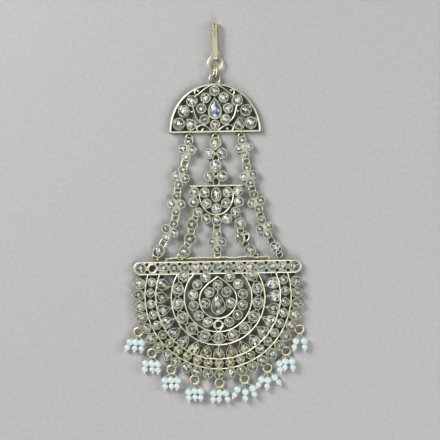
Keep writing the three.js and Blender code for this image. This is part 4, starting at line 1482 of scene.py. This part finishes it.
# A pearl, a little uneven, threaded along its own v direction
def addPearl(work, place, v, z, radius, tint=0.0):
    swell = [chance.uniform(-0.04, 0.04) for _ in range(3)]
    around, rows, rings = 20, 12, []
    for row in range(rows + 1):
        tilt = math.pi * (0.04 + 0.92 * row / rows)
        reach = radius * math.sin(tilt) * (1 + swell[0] * math.cos(2 * tilt))
        level = v - radius * 0.96 * math.cos(tilt)
        ring = []
        for k in range(around):
            angle = 2 * math.pi * k / around
            wide = reach * (1 + swell[1] * math.cos(angle) + swell[2] * math.sin(2 * angle))
            rise = -wide * drop["flat"] * math.sin(angle)
            ring.append(settle(place, wide * math.cos(angle), level, z + rise))
        rings.append(ring)
    addLoft(work, rings, tint)


# The stem of a pin and the small loop by which it hangs on the ring, on the side that pull points to
def addStem(work, middle, place, pull):
    x, y = pull
    share = drop["radius"] / math.hypot(x, y)
    hung = (middle[0] + x * share, middle[1] + y * share, levels["ring"])
    top = settle(place, 0, drop["big"] * 0.9, drop["high"])
    bend = tuple((a + 2 * b) / 3 for a, b in zip(hung, top))
    addWire(work, smoothRun([hung, bend, top], 4), drop["stemWire"], sides=6, up=(0.2, 0.1, 1))
    toward = math.degrees(math.atan2(y, x))
    loop = []
    for angle in np.linspace(0, 2 * math.pi, 12, endpoint=False):
        v, rise = drop["loop"] * math.cos(angle), drop["loop"] * math.sin(angle)
        loop.append(settle((hung[0], hung[1], toward - 90), 0, v, hung[2] + rise))
    addWire(work, loop, drop["loopWire"], closed=True, up=(*directionOf(toward + 90), 0), sides=6)


def pearlDrop(number, stone):
    metal, pearls, silver = startWork(), startWork(), startWork()
    row, high = crescent["outerRow"], drop["high"]
    middle = onCircle(row["middle"], drop["reach"], rowAngle(row, stone))
    ring = arcRun(middle, drop["radius"], 0, 348.75, 31, levels["ring"])
    addWire(metal, ring, drop["wire"], closed=True)
    for x, y, lean in pins[stone]:
        place = (middle[0] + x, middle[1] + y, lean)
        addStem(metal, middle, place, (x * 0.5, y))
        pin = [settle(place, 0, v, high) for v in (drop["capReach"], -drop["tip"])]
        addWire(silver, pin, drop["pinWire"], sides=6)
        addPearl(pearls, place, 0, high, drop["big"])
        addPearl(pearls, place, -drop["step"], high, drop["small"], 1.0)
        addBall(silver, settle(place, 0, -drop["tip"], high), drop["tipBall"], 12, 8)
        for v in (drop["capReach"], -drop["capReach"]):
            addBall(silver, settle(place, 0, v, high), drop["capBall"], 8, 5, 0.8)
    name = f"pearl_drop_{number}"
    makePiece(metal, name + "_ring", ringGilt, [name])
    makePiece(silver, name + "_pins", pinSilver, [])
    makePiece(pearls, name + "_pearls", pearl, [])


for number, stone in enumerate(crescent["drops"], 1):
    pearlDrop(number, stone)
print("pearl drops hung")


# Hook and its rings

# The strip runs along y and is bent over at its top; tip is the end of the back leaf, join the prongs' foot.
hook = {
    "x": 0.5,
    "width": 2.1,
    "thickness": 0.6,
    "top": 109.5,
    "front": 2.66,
    "tip": 98.6,
    "join": 2.7,
    "slitEnd": 6.4,
    "prongGap": 0.24,
    "slitGap": 0.22,
    "eye": {"at": (95.8, 1.33), "radius": 1.05, "shift": 0.2},
    "tongue": 1.5,
    "rounding": 0.14,
}
hookRing = {"radius": 2.85, "wire": 0.43, "z": 1.35}
pairRing = {  # the two small rings between the large ring and the plaque's loop, nearly on edge
    "halfLength": 1.95,
    "halfWidth": 1.1,
    "lean": 0.12,
    "rise": 1.08,
    "z": 1.38,
    "wire": 0.25,
    "turns": {"left": -16, "right": -6},
}


# A flat strip of metal along (y, z) points; sides is (left, right), or a list of such pairs, one a point
def addStrip(work, run, sides, thickness):
    rings = []
    rounding = hook["rounding"]
    for i, (y, z) in enumerate(run):
        before, after = run[max(i - 1, 0)], run[min(i + 1, len(run) - 1)]
        dy, dz = after[0] - before[0], after[1] - before[1]
        length = math.hypot(dy, dz)
        ny, nz = -dz / length * thickness / 2, dy / length * thickness / 2
        left, right = sides[i] if isinstance(sides, list) else sides
        section = [(left + rounding, 1), (left, 0.5), (left, -0.5), (left + rounding, -1),
                   (right - rounding, -1), (right, -0.5), (right, 0.5), (right - rounding, 1)]
        rings.append([(x, y + ny * s, z + nz * s) for x, s in section])
    addLoft(work, rings)


# Below the slit the strip narrows to a tongue, which is rolled into an eye
def addFootEye(work, slitEnd, front, wide, thick):
    (eyeY, eyeZ), radius, shift = hook["eye"]["at"], hook["eye"]["radius"], hook["eye"]["shift"]
    roll = arcRun((eyeY, eyeZ), radius, 70, 395, 19)
    tongue = [(slitEnd + 0.2, front), (eyeY + 4.2, front), (eyeY + 2.6, front), (eyeY + 1.5, front - 0.1)]
    shifts = [0, 0.05, 0.12, shift] + [shift] * len(roll)
    halves = [wide, wide, wide - 0.03, wide - 0.15] + [hook["tongue"] / 2] * len(roll)
    sides = [(hook["x"] + s - half, hook["x"] + s + half) for s, half in zip(shifts, halves)]
    addStrip(work, tongue + roll, sides, thick)


def hairHook():
    work = startWork()
    x, wide, thick = hook["x"], hook["width"] / 2, hook["thickness"]
    bend, half = hook["front"] / 2, thick / 2
    bendY, front = hook["top"] - bend, hook["front"] - half
    join, slitEnd = hook["top"] - hook["join"], hook["top"] - hook["slitEnd"]
    left, right = x - wide, x + wide
    back = [(hook["tip"], half), (hook["tip"] + 5, half), (bendY, half)]
    turn = arcRun((bendY, bend), bend - half, -90, 90, 12)
    addStrip(work, back + turn[1:8], (left, right), thick)
    prong = turn[5:] + [(join - 0.3, front)]  # two of them go over the bend
    addStrip(work, prong, (left, x - hook["prongGap"]), thick)
    addStrip(work, prong, (x + hook["prongGap"], right), thick)
    addStrip(work, [(join, front), (join - 0.9, front)], (left, right), thick)
    slit = [(slitEnd, front), (join - 0.7, front)]  # the slit under them narrows downwards
    addStrip(work, slit, [(left, x - 0.05), (left, x - hook["slitGap"])], thick)
    addStrip(work, slit, [(x + 0.05, right), (x + hook["slitGap"], right)], thick)
    addFootEye(work, slitEnd, front, wide, thick)
    makePiece(work, "hook_strip", hookGilt, ["hook"])


def middleOf(node):
    low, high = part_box(node)
    return (low[0] + high[0]) / 2 / mm, (low[1] + high[1]) / 2 / mm


def hangingRings():
    work = startWork()
    run = arcRun(middleOf("hook_ring"), hookRing["radius"], 121, 476, 60, hookRing["z"])
    addWire(work, run, hookRing["wire"], sides=10)
    makePiece(work, "hook_ring_wire", ringGilt, ["hook_ring"])
    for side, turn in pairRing["turns"].items():
        node = "pair_ring_" + side
        place = (*middleOf(node), turn)
        points = []
        for i in range(28):
            angle = 2 * math.pi * i / 28
            v = ovalReach(angle, pairRing["halfLength"], pairRing["halfWidth"])
            u, rise = pairRing["lean"] * math.cos(angle), pairRing["rise"] * math.cos(angle)
            points.append(settle(place, u, v, pairRing["z"] + rise))
        work = startWork()
        addWire(work, points, pairRing["wire"], closed=True, up=(*directionOf(turn), -0.11))
        makePiece(work, node + "_wire", ringGilt, [node])


hairHook()
hangingRings()
print("hook and rings made")


# Floor

floorSheet = {"reach": 1.2, "below": 0.00005}  # in metres


def layFloor():
    reach = floorSheet["reach"]
    corners = [(-reach, -reach, 0), (reach, -reach, 0), (reach, reach, 0), (-reach, reach, 0)]
    mesh = bpy.data.meshes.new("floor")
    mesh.from_pydata(corners, [], [(0, 1, 2, 3)])
    floor = bpy.data.objects.new("floor", mesh)
    floor.location.z = -floorSheet["below"]
    mesh.materials.append(backdrop)
    bpy.context.scene.collection.objects.link(floor)
    floor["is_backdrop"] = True


layFloor()
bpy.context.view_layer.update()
meshes = [piece.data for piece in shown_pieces() if piece.type == "MESH"]
print("triangles:", sum(len(face.vertices) - 2 for mesh in meshes for face in mesh.polygons))
